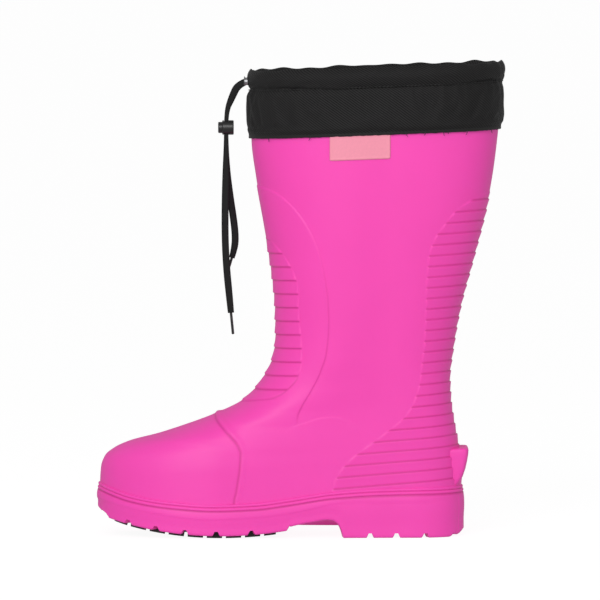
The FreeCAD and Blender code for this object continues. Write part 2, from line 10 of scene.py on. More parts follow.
import bmesh
import bpy
import numpy as np
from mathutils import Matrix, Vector


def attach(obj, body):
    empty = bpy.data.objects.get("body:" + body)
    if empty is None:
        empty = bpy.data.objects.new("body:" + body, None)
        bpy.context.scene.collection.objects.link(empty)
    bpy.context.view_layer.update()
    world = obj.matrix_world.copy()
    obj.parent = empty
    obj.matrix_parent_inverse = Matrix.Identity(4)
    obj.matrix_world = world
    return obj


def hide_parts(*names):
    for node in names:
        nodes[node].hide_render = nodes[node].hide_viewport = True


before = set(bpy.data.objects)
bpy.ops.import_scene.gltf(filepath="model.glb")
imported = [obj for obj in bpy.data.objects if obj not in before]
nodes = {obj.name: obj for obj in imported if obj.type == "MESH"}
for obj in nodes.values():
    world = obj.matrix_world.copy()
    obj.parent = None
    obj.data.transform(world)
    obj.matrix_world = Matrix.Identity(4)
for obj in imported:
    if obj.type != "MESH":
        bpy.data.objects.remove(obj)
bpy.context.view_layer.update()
MM = 0.001

# %% [markdown]
# ## The camera
#
# A long lens six metres away keeps the boot's outline nearly free of perspective. It looks at the
# outer side of the boot from almost three degrees above.

# %% Camera
CAMERA_AIM = Vector((-0.0792, 0.0, 0.1854))
CAMERA_ELEVATION = math.radians(2.8)
CAMERA_LENS, VIEW_WIDTH = 456.0, 0.474
distance = VIEW_WIDTH * CAMERA_LENS / 36.0
camera_data = bpy.data.cameras.new("long_lens")
camera_data.lens = CAMERA_LENS
camera_data.sensor_width = 36.0
camera_data.clip_end = 200.0
camera = bpy.data.objects.new("camera", camera_data)
bpy.context.scene.collection.objects.link(camera)
camera.location = CAMERA_AIM + distance * Vector(
    (0.0, -math.cos(CAMERA_ELEVATION), math.sin(CAMERA_ELEVATION)))
camera.rotation_euler = (math.pi / 2 - CAMERA_ELEVATION, 0.0, 0.0)
bpy.context.scene.camera = camera
print("camera", round(distance, 2), "m away")

# %% [markdown]
# ## The drawcord's free ends
#
# Each lace is a flat cord on one open NURBS line through the same corner points as the CAD cord. It
# leaves an eyelet at the front, bends down, is squeezed narrow by the cord lock, and then hangs.

# %% Laces
NEAR_LACE = [(-115.4, -6.5, 359.9), (-127.5, -5.7, 357.2), (-133.2, -3.5, 344.9),
             (-137.3, -1.8, 334.5), (-137.5, -1.7, 311.0), (-137.8, -1.8, 284.0),
             (-138.4, -2.3, 256.0), (-138.3, -3.0, 232.0), (-137.1, -3.6, 210.0),
             (-135.2, -3.8, 191.0), (-133.7, -3.7, 175.5)]
FAR_LACE = [(-115.4, 6.5, 359.9), (-127.5, 5.7, 357.2), (-133.2, 3.5, 344.9),
            (-137.3, 1.8, 334.5), (-137.5, 1.7, 311.0), (-136.9, 1.8, 287.0),
            (-134.2, 2.2, 266.0), (-131.6, 2.6, 249.0), (-130.3, 3.0, 237.0),
            (-130.6, 3.4, 227.0), (-133.1, 3.7, 218.6)]
LACE_WIDTH, LACE_THICKNESS = 5.6, 2.3
POINT_SCALE = 0.001     # a point's radius turns a section drawn in whole metres into millimetres


def flat_section(name, width, thickness):
    """A lace's cross-section: a flat oval, drawn at a thousand times its size."""
    curve = bpy.data.curves.new(name, "CURVE")
    curve.dimensions = "2D"
    spline = curve.splines.new("POLY")
    spline.points.add(23)
    for i, point in enumerate(spline.points):
        angle = 2 * math.pi * i / 24
        x = math.copysign(abs(math.cos(angle)) ** 0.7, math.cos(angle)) * width / 2
        y = math.copysign(abs(math.sin(angle)) ** 0.8, math.sin(angle)) * thickness / 2
        point.co = (y, x, 0.0, 1.0)
    spline.use_cyclic_u = True
    section = bpy.data.objects.new(name, curve)
    bpy.context.scene.collection.objects.link(section)
    section.hide_render = section.hide_viewport = True
    return section


def nurbs_cord(name, route, widths=None, tilts=None):
    """A curve object on one open NURBS line through a route's corner points."""
    curve = bpy.data.curves.new(name, "CURVE")
    curve.dimensions = "3D"
    spline = curve.splines.new("NURBS")
    spline.points.add(len(route) - 1)
    for i, (point, place) in enumerate(zip(spline.points, route)):
        point.co = (place[0] * MM, place[1] * MM, place[2] * MM, 1.0)
        point.radius = (widths[i] if widths else 1.0) * POINT_SCALE
        point.tilt = math.radians(tilts[i] if tilts else 0.0)
    spline.order_u = 3
    spline.use_endpoint_u = True
    obj = bpy.data.objects.new(name, curve)
    bpy.context.scene.collection.objects.link(obj)
    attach(obj, "boot")
    return obj


def lace(name, route, widths, tilts, section):
    """One flat lace: its widths and tilts are given at the route's points."""
    obj = nurbs_cord(name, route, widths, tilts)
    curve = obj.data
    curve.resolution_u = 12
    curve.use_fill_caps = True
    curve.twist_mode = "MINIMUM"
    curve.bevel_mode = "OBJECT"
    curve.bevel_object = section
    return obj


lace_section = flat_section("lace_section", LACE_WIDTH, LACE_THICKNESS)
near_widths = [0.8, 1.08, 1.02, 0.62, 0.62, 0.98, 1.02, 1.0, 1.0, 1.02, 0.9]
far_widths = [0.8, 1.0, 1.0, 0.62, 0.62, 0.95, 1.0, 1.0, 1.0, 1.0, 0.8]
near_tilts = [8, 0, -6, 0, 4, -4, 6, 0, -5, 0, 4]
far_tilts = [0, 6, 0, 0, -4, 14, -10, 0, 12, 0, 0]
lace_near = lace("lace_near_cord", NEAR_LACE, near_widths, near_tilts, lace_section)
lace_far = lace("lace_far_cord", FAR_LACE, far_widths, far_tilts, lace_section)
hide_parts("lace_near")
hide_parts("lace_far")
print("laces:", len(NEAR_LACE), "and", len(FAR_LACE), "route points")

# %% [markdown]
# ## The form of the boot
#
# One set of smooth curves describes the boot: where its front and back edges are at each level, how
# wide it is, and how its outline is rounded. The same curves give the foam shell, the felt boot and
# the collar, so the layers nest. Levels rise a little towards the heel.

# %% Form curves
TILT, TILT_AT_X = 0.037, 61.1
RIM_LEVEL, HEM_LEVEL, SEAM_LEVEL, TOP_LEVEL = 333.0, 320.7, 358.0, 374.0
WALL = 5.0                                      # wall of the moulded shell
FRONT_ROUNDNESS, REAR_ROUNDNESS = 2.15, 2.25    # exponents of the outline's ends, 2 is an ellipse
OUTER_WAIST_DIP, INNER_WAIST_DIP = 1.5, 6.5     # how far each side is drawn in under the instep
TOE_SWING, TOE_SWING_REACH, TOE_SWING_FROM_X = 8.0, 96.5, -140.0
FRONT_EDGE = [(20, -236.5), (52, -237.5), (64, -236.8), (73, -233.5), (79, -226), (84, -214),
              (89, -192), (96, -167), (104, -143), (113, -124), (127, -110), (145, -100.5),
              (162, -97.8), (185, -98.2), (210, -100.5), (250, -107), (290, -114), (318, -117.5),
              (380, -118.5)]
BACK_EDGE = [(20, 48.5), (50, 48), (70, 46.2), (90, 42.6), (108, 40), (126, 39.2), (145, 41.4),
             (180, 47.5), (220, 58.2), (262, 68.8), (300, 75), (335, 78.4), (380, 80)]
FRONT_HALF_WIDTH = [(20, 50.5), (60, 50), (75, 48), (85, 45.2), (95, 42.2), (106, 40.5),
                    (122, 40.5), (145, 42.5), (200, 47.5), (260, 52.5), (320, 56), (380, 57.5)]
REAR_HALF_WIDTH = [(20, 37.5), (75, 36.5), (105, 37), (140, 39.5), (200, 45), (260, 50.5),
                   (320, 54.5), (380, 56)]
FRONT_STATION = [(20, -160), (70, -152), (85, -134), (96, -110), (106, -86), (122, -62),
                 (145, -47), (180, -40), (380, -38)]
REAR_STATION = [(20, 8), (75, 6), (105, 2), (140, -7), (200, -8), (380, -3)]
FOXING_LINE = [(-260, 49), (-238, 41.5), (-210, 33), (-178, 28.6), (-147, 26.8), (-115, 27.8),
               (-87, 31.2), (-54, 36), (-20, 38.3), (15, 39.2), (60, 39.8)]
FOOTBED = [(-260, 30), (-225, 24), (-190, 20), (-150, 18.5), (-110, 19.5), (-60, 23), (-10, 26),
           (60, 27)]


def smooth_through(points):
    """A smooth function through (position, value) points that never overshoots them."""
    xs, ys = np.array(points, float).T
    h, d = np.diff(xs), np.diff(ys) / np.diff(xs)
    m = np.empty(len(xs))
    m[0], m[-1] = d[0], d[-1]
    a, b = 2 * h[1:] + h[:-1], h[1:] + 2 * h[:-1]
    with np.errstate(divide="ignore", invalid="ignore"):
        harmonic = (a + b) / (a / d[:-1] + b / d[1:])
    m[1:-1] = np.where(d[:-1] * d[1:] > 0, harmonic, 0.0)

    def value(x):
        x = np.clip(np.asarray(x, float), xs[0], xs[-1])
        i = np.clip(np.searchsorted(xs, x, side="right") - 1, 0, len(h) - 1)
        t = (x - xs[i]) / h[i]
        return (ys[i] * (1 + 2 * t) * (1 - t) ** 2 + ys[i + 1] * t * t * (3 - 2 * t)
                + h[i] * (m[i] * t * (1 - t) ** 2 - m[i + 1] * t * t * (1 - t)))

    return value


front_edge, back_edge = smooth_through(FRONT_EDGE), smooth_through(BACK_EDGE)
front_half, rear_half = smooth_through(FRONT_HALF_WIDTH), smooth_through(REAR_HALF_WIDTH)
front_station, rear_station = smooth_through(FRONT_STATION), smooth_through(REAR_STATION)
foxing_height, footbed_height = smooth_through(FOXING_LINE), smooth_through(FOOTBED)


def height_of(level, x):
    return level + TILT * (x - TILT_AT_X)


def smoothstep(low, high, x):
    t = np.clip((x - low) / (high - low), 0.0, 1.0)
    return t * t * (3 - 2 * t)


def outline(level, count, inset=0.0, lift=0.0):
    """Even points round the form at a level, from the front tip along the outer side and back."""
    form = level + lift
    front, back = float(front_edge(form)) + inset, float(back_edge(form)) - inset
    fore, rear = float(front_station(form)), float(rear_station(form))
    wide, narrow = float(front_half(form)) - inset, float(rear_half(form)) - inset
    waist = max(0.0, 1 - max(0.0, level - 60) / 65.0)
    t = np.linspace(0, 1, 161)
    s = t[1:-1]
    angle = math.pi / 2 * t
    x = np.concatenate([fore - (fore - front) * np.cos(angle).clip(0) ** (2 / FRONT_ROUNDNESS),
                        fore + (rear - fore) * s,
                        rear + (back - rear) * np.sin(angle) ** (2 / REAR_ROUNDNESS)])
    rings = []
    for side, dip in ((-1, OUTER_WAIST_DIP), (1, INNER_WAIST_DIP)):
        middle = wide + (narrow - wide) * s * s * (3 - 2 * s) - waist * dip * np.sin(math.pi * s) ** 2
        w = np.concatenate([wide * np.sin(angle) ** (2 / FRONT_ROUNDNESS), middle,
                            narrow * np.cos(angle).clip(0) ** (2 / REAR_ROUNDNESS)])
        swing = TOE_SWING / TOE_SWING_REACH ** 2 * np.minimum(0.0, x - TOE_SWING_FROM_X) ** 2
        y = side * w + swing
        along = np.concatenate([[0], np.cumsum(np.hypot(np.diff(x), np.diff(y)))])
        at = np.linspace(0, along[-1], count // 2 + 1)
        rings.append((np.interp(at, along, x), np.interp(at, along, y)))
    (xo, yo), (xi, yi) = rings
    x = np.concatenate([xo[:-1], xi[:0:-1]])
    y = np.concatenate([yo[:-1], yi[:0:-1]])
    return np.stack([x, y, height_of(level, x)], axis=1)


print("shaft is", round(float(back_edge(250) - front_edge(250))), "mm deep at mid height")

# %% [markdown]
# ## Helpers for grid meshes
#
# Most pieces here are grids: rows of points that each run once round the boot.

# %% Grid meshes
def link_mesh(name, points, faces, body="boot", smooth=True):
    """A mesh object from points in millimetres."""
    mesh = bpy.data.meshes.new(name)
    mesh.from_pydata((np.asarray(points, float) * MM).tolist(), [], faces)
    mesh.update()
    if smooth:
        mesh.shade_smooth()
    obj = bpy.data.objects.new(name, mesh)
    bpy.context.scene.collection.objects.link(obj)
    if body:
        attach(obj, body)
    return obj


def ring_faces(rows, columns, closed_rows=False, cap_start=False, cap_end=False):
    """Quads between rows of a grid whose columns close round, with optional flat caps."""
    r, c = np.meshgrid(np.arange(rows if closed_rows else rows - 1), np.arange(columns),
                       indexing="ij")
    n, d = (r + 1) % rows, (c + 1) % columns
    quads = np.stack([r * columns + c, r * columns + d, n * columns + d, n * columns + c], -1)
    faces = quads.reshape(-1, 4).tolist()
    if cap_start:
        faces.append(list(range(columns - 1, -1, -1)))
    if cap_end:
        faces.append([(rows - 1) * columns + i for i in range(columns)])
    return faces


def set_attribute(obj, name, values):
    """Stores one number per vertex for the materials."""
    layer = obj.data.attributes.new(name, "FLOAT", "POINT")
    layer.data.foreach_set("value", np.asarray(values, np.float32).ravel())


def vertex_places(mesh):
    places = np.empty(len(mesh.vertices) * 3)
    mesh.vertices.foreach_get("co", places)
    return places.reshape(-1, 3)


def lengths_along(points):
    """The length of a polyline up to each of its points."""
    return np.concatenate([[0], np.cumsum(np.linalg.norm(np.diff(points, axis=0), axis=1))])


def tube_faces(base, rings, sides):
    """A closed tube's faces over rings of points that start at index base."""
    faces = []
    for r in range(rings - 1):
        for k in range(sides):
            a, b = base + r * sides + k, base + r * sides + (k + 1) % sides
            faces.append([a, b, b + sides, a + sides])
    faces.append([base + k for k in range(sides - 1, -1, -1)])
    faces.append([base + (rings - 1) * sides + k for k in range(sides)])
    return faces


# %% [markdown]
# ## The relief of the upper
#
# The moulded relief is a height above the form for every point of it. Ribs lie over each other like
# roof tiles on the instep and on the back of the leg, so each is a saw tooth with a thin crease.
# A few border lines run down the boot, so the mesh is made finer along them before it is raised.

# %% Relief lines
RIB_TOP, RIB_PITCH = 229.1, 10.75
INSTEP_RIBS_EDGE = smooth_through([(112.0, -126), (113.2, -118), (115.2, -102.3), (121, -90.2),
                                   (130.2, -81.7), (139.8, -78), (154, -77.5), (184, -79.9),
                                   (202, -80.3), (212, -83), (224, -89), (233.7, -96.2), (240, -103),
                                   (244, -112)])
BACK_RIBS_EDGE = smooth_through([(40, -54), (51.4, -50.3), (60.1, -44.6), (68.7, -35.2),
                                 (77.6, -22.6), (86.7, -10), (95.9, 1.7), (104.7, 8.3),
                                 (113.4, 12.1), (121.9, 14.4), (139, 16.6), (155.8, 18.3),
                                 (172.3, 19.3), (197.4, 19.9), (214.3, 20.9), (222.9, 21.8),
                                 (231.3, 24.1), (239.9, 28.2), (248.1, 34.6), (257, 42), (265.5, 55),
                                 (271, 70), (274, 84)])
BACK_RIB_COUNT = smooth_through([(34, 26.96), (51.4, 25), (104.7, 19), (265.5, 0), (274, -1)])
BACK_RIB_RISE = smooth_through([(40, 0.045), (90, 0.04), (130, 0.02), (280, 0.012)])
PANEL_EDGE = smooth_through([(94, -82), (101.6, -81.1), (108.6, -78), (120.5, -70.8),
                             (134.6, -63.6), (150.2, -58.7), (172, -56.9), (190.1, -57.5),
                             (204.8, -59.3), (230.3, -64.8), (251.3, -74.4), (266.1, -85.3),
                             (278, -99.9), (282.4, -112), (285, -122)])
TOE_CAP_LINE = smooth_through([(25, -131.5), (33.6, -130.7), (37.9, -129.6), (47.4, -128),
                               (59.1, -126.4), (69.4, -125.8), (75.6, -128), (81.6, -132.7),
                               (88.5, -139.1), (95.2, -144.9), (101, -147)])
ANKLE_ARC = smooth_through([(-90, 88), (-82, 91.6), (-72, 94.6), (-64, 97.2), (-54.7, 98.1),
                            (-46.6, 96.9), (-38.6, 92.5), (-32.7, 85.5), (-30, 79)])
FORM_SINK = 3.0         # heights on the form are this much above true heights near the middle


def side_of(edge, along, across):
    """Distance to the left of an edge given as across = edge(along), true near the edge."""
    slope = edge(along + 0.5) - edge(along - 0.5)
    return (edge(along) - across) / np.sqrt(1 + slope ** 2)


def back_zone(x, level):
    """Distance inside the ribbed back, and the count of ribs down to each point."""
    inside = -side_of(BACK_RIBS_EDGE, level, x)
    raised = level - BACK_RIB_RISE(level) * (x - BACK_RIBS_EDGE(level)).clip(-5, 110)
    return inside, BACK_RIB_COUNT(raised)


def near_a_line(x, z, level):
    """Where the mesh needs to be finer."""
    panel = np.abs(side_of(PANEL_EDGE, level, x)) * np.where((level > 92) & (level < 288), 1, 99)
    instep = np.abs(side_of(INSTEP_RIBS_EDGE, level, x))
    instep *= np.where((level > 111) & (level < 244), 1, 99)
    back = np.abs(side_of(BACK_RIBS_EDGE, level, x)) * np.where(level < 275, 1, 99)
    toe = np.abs(side_of(TOE_CAP_LINE, z + FORM_SINK, x) - 1.5) - 2.5
    return np.minimum(np.minimum(panel, instep), np.minimum(back, toe)) < 2.0


# %% Relief height
def relief(x, z, level):
    """Height of the moulded relief over the form, and the painted shade for its grooves and creases."""
    # crease_shade is painted shade: how much the foam's colour is darkened in grooves, along steps and at
    # the toe cap
    height, crease_shade = np.zeros_like(x), np.zeros_like(x)
    # instep panel: a low step along its edge
    panel = side_of(PANEL_EDGE, level, x)
    fade = smoothstep(92, 104, level) * smoothstep(288, 283, level)
    height += 0.6 * smoothstep(-0.5, 0.5, panel) * fade
    crease_shade += 0.3 * np.exp(-((panel + 0.4) / 0.6) ** 2) * fade * smoothstep(250, 170, level)
    # instep ribs, each proudest at its lower edge
    inside = side_of(INSTEP_RIBS_EDGE, level, x)
    zone = smoothstep(-0.4, 0.5, inside) * smoothstep(112.3, 113.3, level)
    zone *= smoothstep(241.5, 239.5, level)
    turn = (RIB_TOP - level) / RIB_PITCH
    phase = turn - np.floor(turn)
    groove = np.minimum(phase, 1 - phase) * RIB_PITCH
    lip = smoothstep(0, 0.075, 1 - phase)
    height += zone * (0.15 + 0.95 * phase ** 1.4 * lip - 0.2 * np.exp(-(groove / 0.6) ** 2))
    crease_shade += zone * 0.75 * np.exp(-(groove / 0.6) ** 2)
    crease_shade += 0.4 * np.exp(-((inside + 0.3) / 0.6) ** 2) * (
        smoothstep(135, 128, level) * smoothstep(111.5, 113, level))
    # ribs on the back, each proudest at its upper edge
    inside, turn = back_zone(x, level)
    zone = smoothstep(-0.5, 0.9, inside) * smoothstep(273, 270, level)
    phase = turn - np.floor(turn)
    groove = np.minimum(phase, 1 - phase) * 8.5
    lip = smoothstep(0, 0.08, phase)
    height += zone * (0.08 + 0.95 * (1 - phase) ** 1.4 * lip - 0.25 * np.exp(-(groove / 0.6) ** 2))
    crease_shade += 0.75 * zone * np.exp(-(groove / 0.7) ** 2)
    # toe cap: a crease with a raised seam behind it, highest over the instep
    behind = -side_of(TOE_CAP_LINE, z + FORM_SINK, x)
    top = smoothstep(68, 96, z)
    height += (0.35 + 0.85 * top) * np.exp(-((behind - 2.4) / (1.4 + 1.4 * top)) ** 2)
    height -= 0.45 * np.exp(-(behind / 0.8) ** 2)
    height += 0.7 * smoothstep(0, -20, behind) * smoothstep(-44, -20, behind) * (1 - top)
    crease_shade += 0.65 * np.exp(-(behind / 0.8) ** 2)
    # faint arc over the ankle
    arc = level - (ANKLE_ARC(x) - TILT * (x + 20.0))
    fade = smoothstep(-92, -80, x) * smoothstep(-28, -36, x)
    height += fade * 0.25 * smoothstep(0.8, -0.8, arc) * smoothstep(-26, -4, arc)
    return height, crease_shade.clip(0, 1.0)


# %% Upper
def upper_grid(columns, foot_rows, leg_rows, join_level=118.35):
    """Rows of points over the upper: evenly spaced up each column, level on the leg."""
    dense = np.concatenate([np.arange(22, 60, 2.0), np.arange(60, join_level, 0.35), [join_level]])
    table = np.stack([outline(level, columns) for level in dense])
    start = foxing_height(table[0, :, 0]) - 6.0
    rows = np.empty((foot_rows, columns, 3))
    for c in range(columns):
        column = table[:, c][table[:, c, 2] >= start[c]]
        along = lengths_along(column)
        at = np.linspace(0, along[-1], foot_rows + 1)[:-1]
        for k in range(3):
            rows[:, c, k] = np.interp(at, along, column[:, k])
    leg_levels = np.linspace(join_level, RIM_LEVEL, leg_rows)
    return np.concatenate([rows, np.stack([outline(level, columns) for level in leg_levels])])


def rounded_rim(columns, wall, rows=7):
    """Rows over the shell's top edge, from outside to inside."""
    rings = []
    for angle in np.linspace(0, math.pi, rows + 2)[1:-1]:
        inset = wall / 2 * (1 - math.cos(angle))
        rings.append(outline(RIM_LEVEL + wall / 2 * math.sin(angle) * 0.6, columns, inset))
    return np.stack(rings)


def cavity_rows(columns, extra, levels):
    """Rows down the inside of a layer that lies extra millimetres inside the shell's wall."""
    lift_at = smooth_through([(15, 4.0 + 0.9 * extra), (120, 4.0 + 0.9 * extra), (170, 0.0)])
    rings = []
    for form in levels:
        lift = float(lift_at(form))
        rings.append(outline(form - lift, columns, WALL + extra, lift))
    return np.stack(rings)


def refine_rows(mesh, skin_count):
    """Cuts the edges that cross a relief line into three."""
    pairs = np.empty(len(mesh.edges) * 2, int)
    mesh.edges.foreach_get("vertices", pairs)
    points, pairs = vertex_places(mesh) / MM, pairs.reshape(-1, 2)
    x, _, z = points[pairs].mean(axis=1).T
    level = z - TILT * (x - TILT_AT_X)
    wanted = near_a_line(x, z, level) & (np.abs(pairs[:, 0] - pairs[:, 1]) == 1)
    wanted &= pairs.max(axis=1) < skin_count
    bm = bmesh.new()
    bm.from_mesh(mesh)
    bm.edges.ensure_lookup_table()
    bmesh.ops.subdivide_edges(bm, edges=[bm.edges[i] for i in np.flatnonzero(wanted)], cuts=2,
                              use_grid_fill=True)
    bm.to_mesh(mesh)
    bm.free()


def build_upper():
    columns = 272
    foot_rows, leg_rows = ((150, 320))
    grid = upper_grid(columns, foot_rows, leg_rows)
    rim = rounded_rim(columns, WALL)
    inner_levels = np.concatenate([np.arange(RIM_LEVEL, 125, -12.0), np.arange(120, 60, -3.0),
                                   np.arange(60, 30, -6.0)])
    inner = cavity_rows(columns, 0.0, inner_levels)
    inner[..., 2] = np.maximum(inner[..., 2], footbed_height(inner[..., 0]))
    points = np.concatenate([grid, rim, inner])
    obj = link_mesh("foam_upper", points.reshape(-1, 3), ring_faces(len(points), columns, cap_end=True))
    mesh = obj.data
    on_skin = np.zeros(len(mesh.vertices))
    on_skin[:grid.shape[0] * columns] = 1.0
    set_attribute(obj, "skin", on_skin)
    refine_rows(mesh, grid.shape[0] * columns)
    count = len(mesh.vertices)
    normal, skin = np.empty(count * 3), np.empty(count)
    mesh.vertex_normals.foreach_get("vector", normal)
    mesh.attributes["skin"].data.foreach_get("value", skin)
    co, normal = vertex_places(mesh) / MM, normal.reshape(-1, 3)
    x, z = co[:, 0], co[:, 2]
    height, crease_shade = relief(x, z, z - TILT * (x - TILT_AT_X))
    skin = skin > 0.99
    co += normal * (height * skin)[:, None]
    mesh.vertices.foreach_set("co", (co * MM).ravel())
    mesh.attributes.remove(mesh.attributes["skin"])
    # painted shade in the relief's grooves goes to the foam material as a vertex attribute
    set_attribute(obj, "crease_shade", crease_shade * skin)
    mesh.update()
    return obj


foam_upper = build_upper()
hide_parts("boot_shell")
print("upper:", len(foam_upper.data.polygons), "faces")

# %% [markdown]
# ## The sole
#
# The sole is swept round the foot outline: two thin ridges under the upper, a bulging side wall, a
# rounded lower corner with lug notches, and the border of the pockets that hold the rubber treads.
# Its underside is bridged from the outer to the inner edge. Under the arch it slopes inwards.

# %% Sole shape
HEEL_NOTCHES_X = [-24.0, -3.3, 19.4, 41.0]
FOREFOOT_NOTCHES_X = [-232.0, -213.5, -192.0, -169.5, -145.0, -117.5]
NOTCH_BASE, NOTCH_TOP, NOTCH_DEPTH = 5.8, 2.6, 3.6
ARCH_FRONT_X, ARCH_REAR_X, ARCH_INNER_Z = -90.0, -45.0, 5.0
FOREFOOT_TREAD_X, HEEL_TREAD_X, POCKET_DEPTH = (-226.0, -98.0), (-36.0, 36.0), 7.0
arch_line = smooth_through([(-87, 9.2), (-78, 11.2), (-68, 12.9), (-58, 14.3), (-54, 13.9),
                            (-51, 12.4), (-48.5, 9.6), (-46.8, 6.0), (-45.2, 0.4)])
wall_line = smooth_through([(-240, 29), (-229, 27), (-192, 19.5), (-150, 15), (-110, 17), (-75, 22),
                            (-49, 27.5), (-20, 28.2), (9, 28), (30, 30), (50, 33)])


def edge_bottom(x, y):
    """Underside of the moulded edge, without its notches."""
    fore = 2.2 + 0.0015 * (x + 140.0) ** 2
    fore = np.where(x < -229, np.maximum(fore, 15.0 + (-229.0 - x) * 0.75), fore)
    step = fore + 3.4 * smoothstep(-90.2, -87.0, x)
    arch = np.where(x > -87.0, arch_line(x), step)
    inwards = np.clip((y - 4.0) / 30.0, 0.0, 1.0)
    arch = np.where(arch > ARCH_INNER_Z, arch + (ARCH_INNER_Z - arch) * inwards, arch)
    heel = 1.2 * smoothstep(38, 44, x) + 4.6 * smoothstep(43, 51.5, x)
    return np.where(x > ARCH_REAR_X, heel, np.where(x > ARCH_FRONT_X, arch, fore))


def notch_depth(x):
    """How far the lug notches cut up into the edge at x."""
    depth = np.zeros_like(x)
    for middle in HEEL_NOTCHES_X + FOREFOOT_NOTCHES_X:
        full = NOTCH_DEPTH * (0.45 if middle < -225 or middle > 40 else 1.0)
        slope = (NOTCH_BASE - NOTCH_TOP) / 2
        away = np.abs(x - middle)
        depth = np.maximum(depth, full * np.clip((NOTCH_BASE / 2 - away) / slope, 0, 1))
    return depth


def pocket_depth(x):
    """Depth of the tread pockets along the sole."""
    inside = np.zeros_like(x)
    for low, high in (FOREFOOT_TREAD_X, HEEL_TREAD_X):
        inside = np.maximum(inside, smoothstep(low - 0.4, low, x) * smoothstep(high + 0.4, high, x))
    return POCKET_DEPTH * inside


def sole_columns(half):
    """Paired columns on the outer and inner sides, crowded at the notches and the arch's ends."""
    fine = outline(45.0, 4000)
    outer = fine[:2001]
    inner = np.concatenate([fine[:1], fine[:1999:-1]])
    wanted = np.full(len(outer), 1.0)
    for middle in HEEL_NOTCHES_X + FOREFOOT_NOTCHES_X + [-46.5, -88.5]:
        wanted += 4.0 * np.exp(-((outer[:, 0] - middle) / 3.2) ** 2)
    along = np.concatenate([[0], np.cumsum(wanted)[:-1]])
    pick = np.interp(np.linspace(0, along[-1], half + 1), along, np.arange(len(outer)))
    index = np.arange(len(outer))
    xo, yo = np.interp(pick, index, outer[:, 0]), np.interp(pick, index, outer[:, 1])
    by_x = np.argsort(inner[:, 0])
    yi = np.interp(xo, inner[by_x, 0], inner[by_x, 1])
    x, y = np.concatenate([xo, xo[-2:0:-1]]), np.concatenate([yo, yi[-2:0:-1]])
    tangent = np.stack([np.roll(x, -1) - np.roll(x, 1), np.roll(y, -1) - np.roll(y, 1)], axis=1)
    tangent /= np.linalg.norm(tangent, axis=1, keepdims=True)
    outward = np.stack([tangent[:, 1], -tangent[:, 0]], axis=1)
    middle = np.array([-90.0, 0.0])
    outward *= np.sign((outward * (np.stack([x, y], 1) - middle)).sum())
    return np.stack([x, y], axis=1), outward


# %% Sole mesh
def build_sole():
    half = 390
    base, outward = sole_columns(half)
    columns = 2 * half
    x, y = base.T
    top, bottom = foxing_height(x), edge_bottom(x, y)
    low = bottom + notch_depth(x)
    rings, crease_shade = [], []

    # dark is painted shade: how much the foam's colour is darkened under the ridges and at the top of the
    # side wall
    def ring(offset, z, dark=0.0):
        place = base + outward * np.reshape(offset, (-1, 1))
        rings.append(np.column_stack([place, np.broadcast_to(z, x.shape)]))
        crease_shade.append(np.broadcast_to(dark, x.shape))

    ring(-3.0, top + 1.0)
    ring(-0.7, top + 0.5, 0.5)
    for middle, swell in ((-1.2, 1.0), (-3.9, 1.45)):      # two thin rounded ridges
        for angle in np.linspace(75, -75, 7):
            a = math.radians(angle)
            ring(-0.5 + swell + 1.0 * math.cos(a), top + middle + 1.15 * math.sin(a),
                 0.7 * (abs(angle) > 70 and angle < 0))
    side_top, wall_rows = top - 5.7, 22
    low_wall = bottom + 1.6
    for i in range(wall_rows + 1):
        t = i / wall_rows
        z = side_top + (low_wall - side_top) * t
        swell = 1.9 + 0.9 * math.sin(math.pi * min(1.0, t * 1.3)) * (1 - t) + 0.25 * t
        step = 0.35 * smoothstep(0.5, -0.5, z - wall_line(x))
        ring(swell - 0.25 + 0.3 - step * (x < 44), np.maximum(z, low + 0.8 * (1 - t)), 0.65 * (i == 0))
    for angle in (30, 60, 90):                             # rounded lower corner
        a = math.radians(angle)
        z = bottom + 1.6 * (1 - math.sin(a))
        ring(1.85 - 1.4 * (1 - math.cos(a)), np.maximum(z, low))
    ring(-4.0, low)
    ring(-8.8, low)
    ring(-9.6, np.maximum(low, bottom + 0.4))
    ring(-9.8, bottom + pocket_depth(x))
    points = np.concatenate(rings)
    faces = ring_faces(len(rings), columns, cap_start=True)
    # the underside, bridged from the outer side to the inner side
    last, bridge = (len(rings) - 1) * columns, 8
    share = np.linspace(0, 1, bridge + 1)[1:-1]
    outer, inner = points[last + np.arange(1, half)], points[last + columns - np.arange(1, half)]
    across = outer[:, None, :2] + (inner - outer)[:, None, :2] * share[None, :, None]
    under = edge_bottom(across[..., 0], across[..., 1]) + pocket_depth(across[..., 0])
    extra = np.concatenate([across, under[..., None]], axis=2).reshape(-1, 3)
    first_extra = len(points)

    def at(i, j):
        if j == 0:
            return last + i
        if j == bridge:
            return last + columns - i
        return first_extra + (i - 1) * (bridge - 1) + j - 1

    for j in range(bridge):
        faces.append([last, at(1, j + 1), at(1, j)])
        faces.append([last + half, at(half - 1, j), at(half - 1, j + 1)])
        for i in range(1, half - 1):
            faces.append([at(i, j), at(i, j + 1), at(i + 1, j + 1), at(i + 1, j)])
    obj = link_mesh("foam_sole", np.concatenate([points, extra]), faces)
    set_attribute(obj, "crease_shade", np.concatenate([np.concatenate(crease_shade), np.zeros(len(extra))]))
    return obj


foam_sole = build_sole()
print("sole:", len(foam_sole.data.polygons), "faces")

# %% [markdown]
# ## The kick-off spur
#
# A ledge wraps the back of the heel. The other foot steps on it to pull the boot off.

# %% Spur
SPUR_CORNER = 0.27      # exponent of the rounded corners
SPUR_PROFILE = [(39.0, 43.0, 20.5), (42.0, 46.0, 21.8), (47.0, 49.2, 22.6), (53.0, 51.3, 23.2),
                (59.0, 52.7, 23.6), (64.0, 53.5, 23.9), (67.3, 53.8, 24.0), (68.5, 53.6, 23.8),
                (69.2, 53.0, 23.2), (69.5, 51.9, 22.2), (69.6, 49.0, 19.5)]


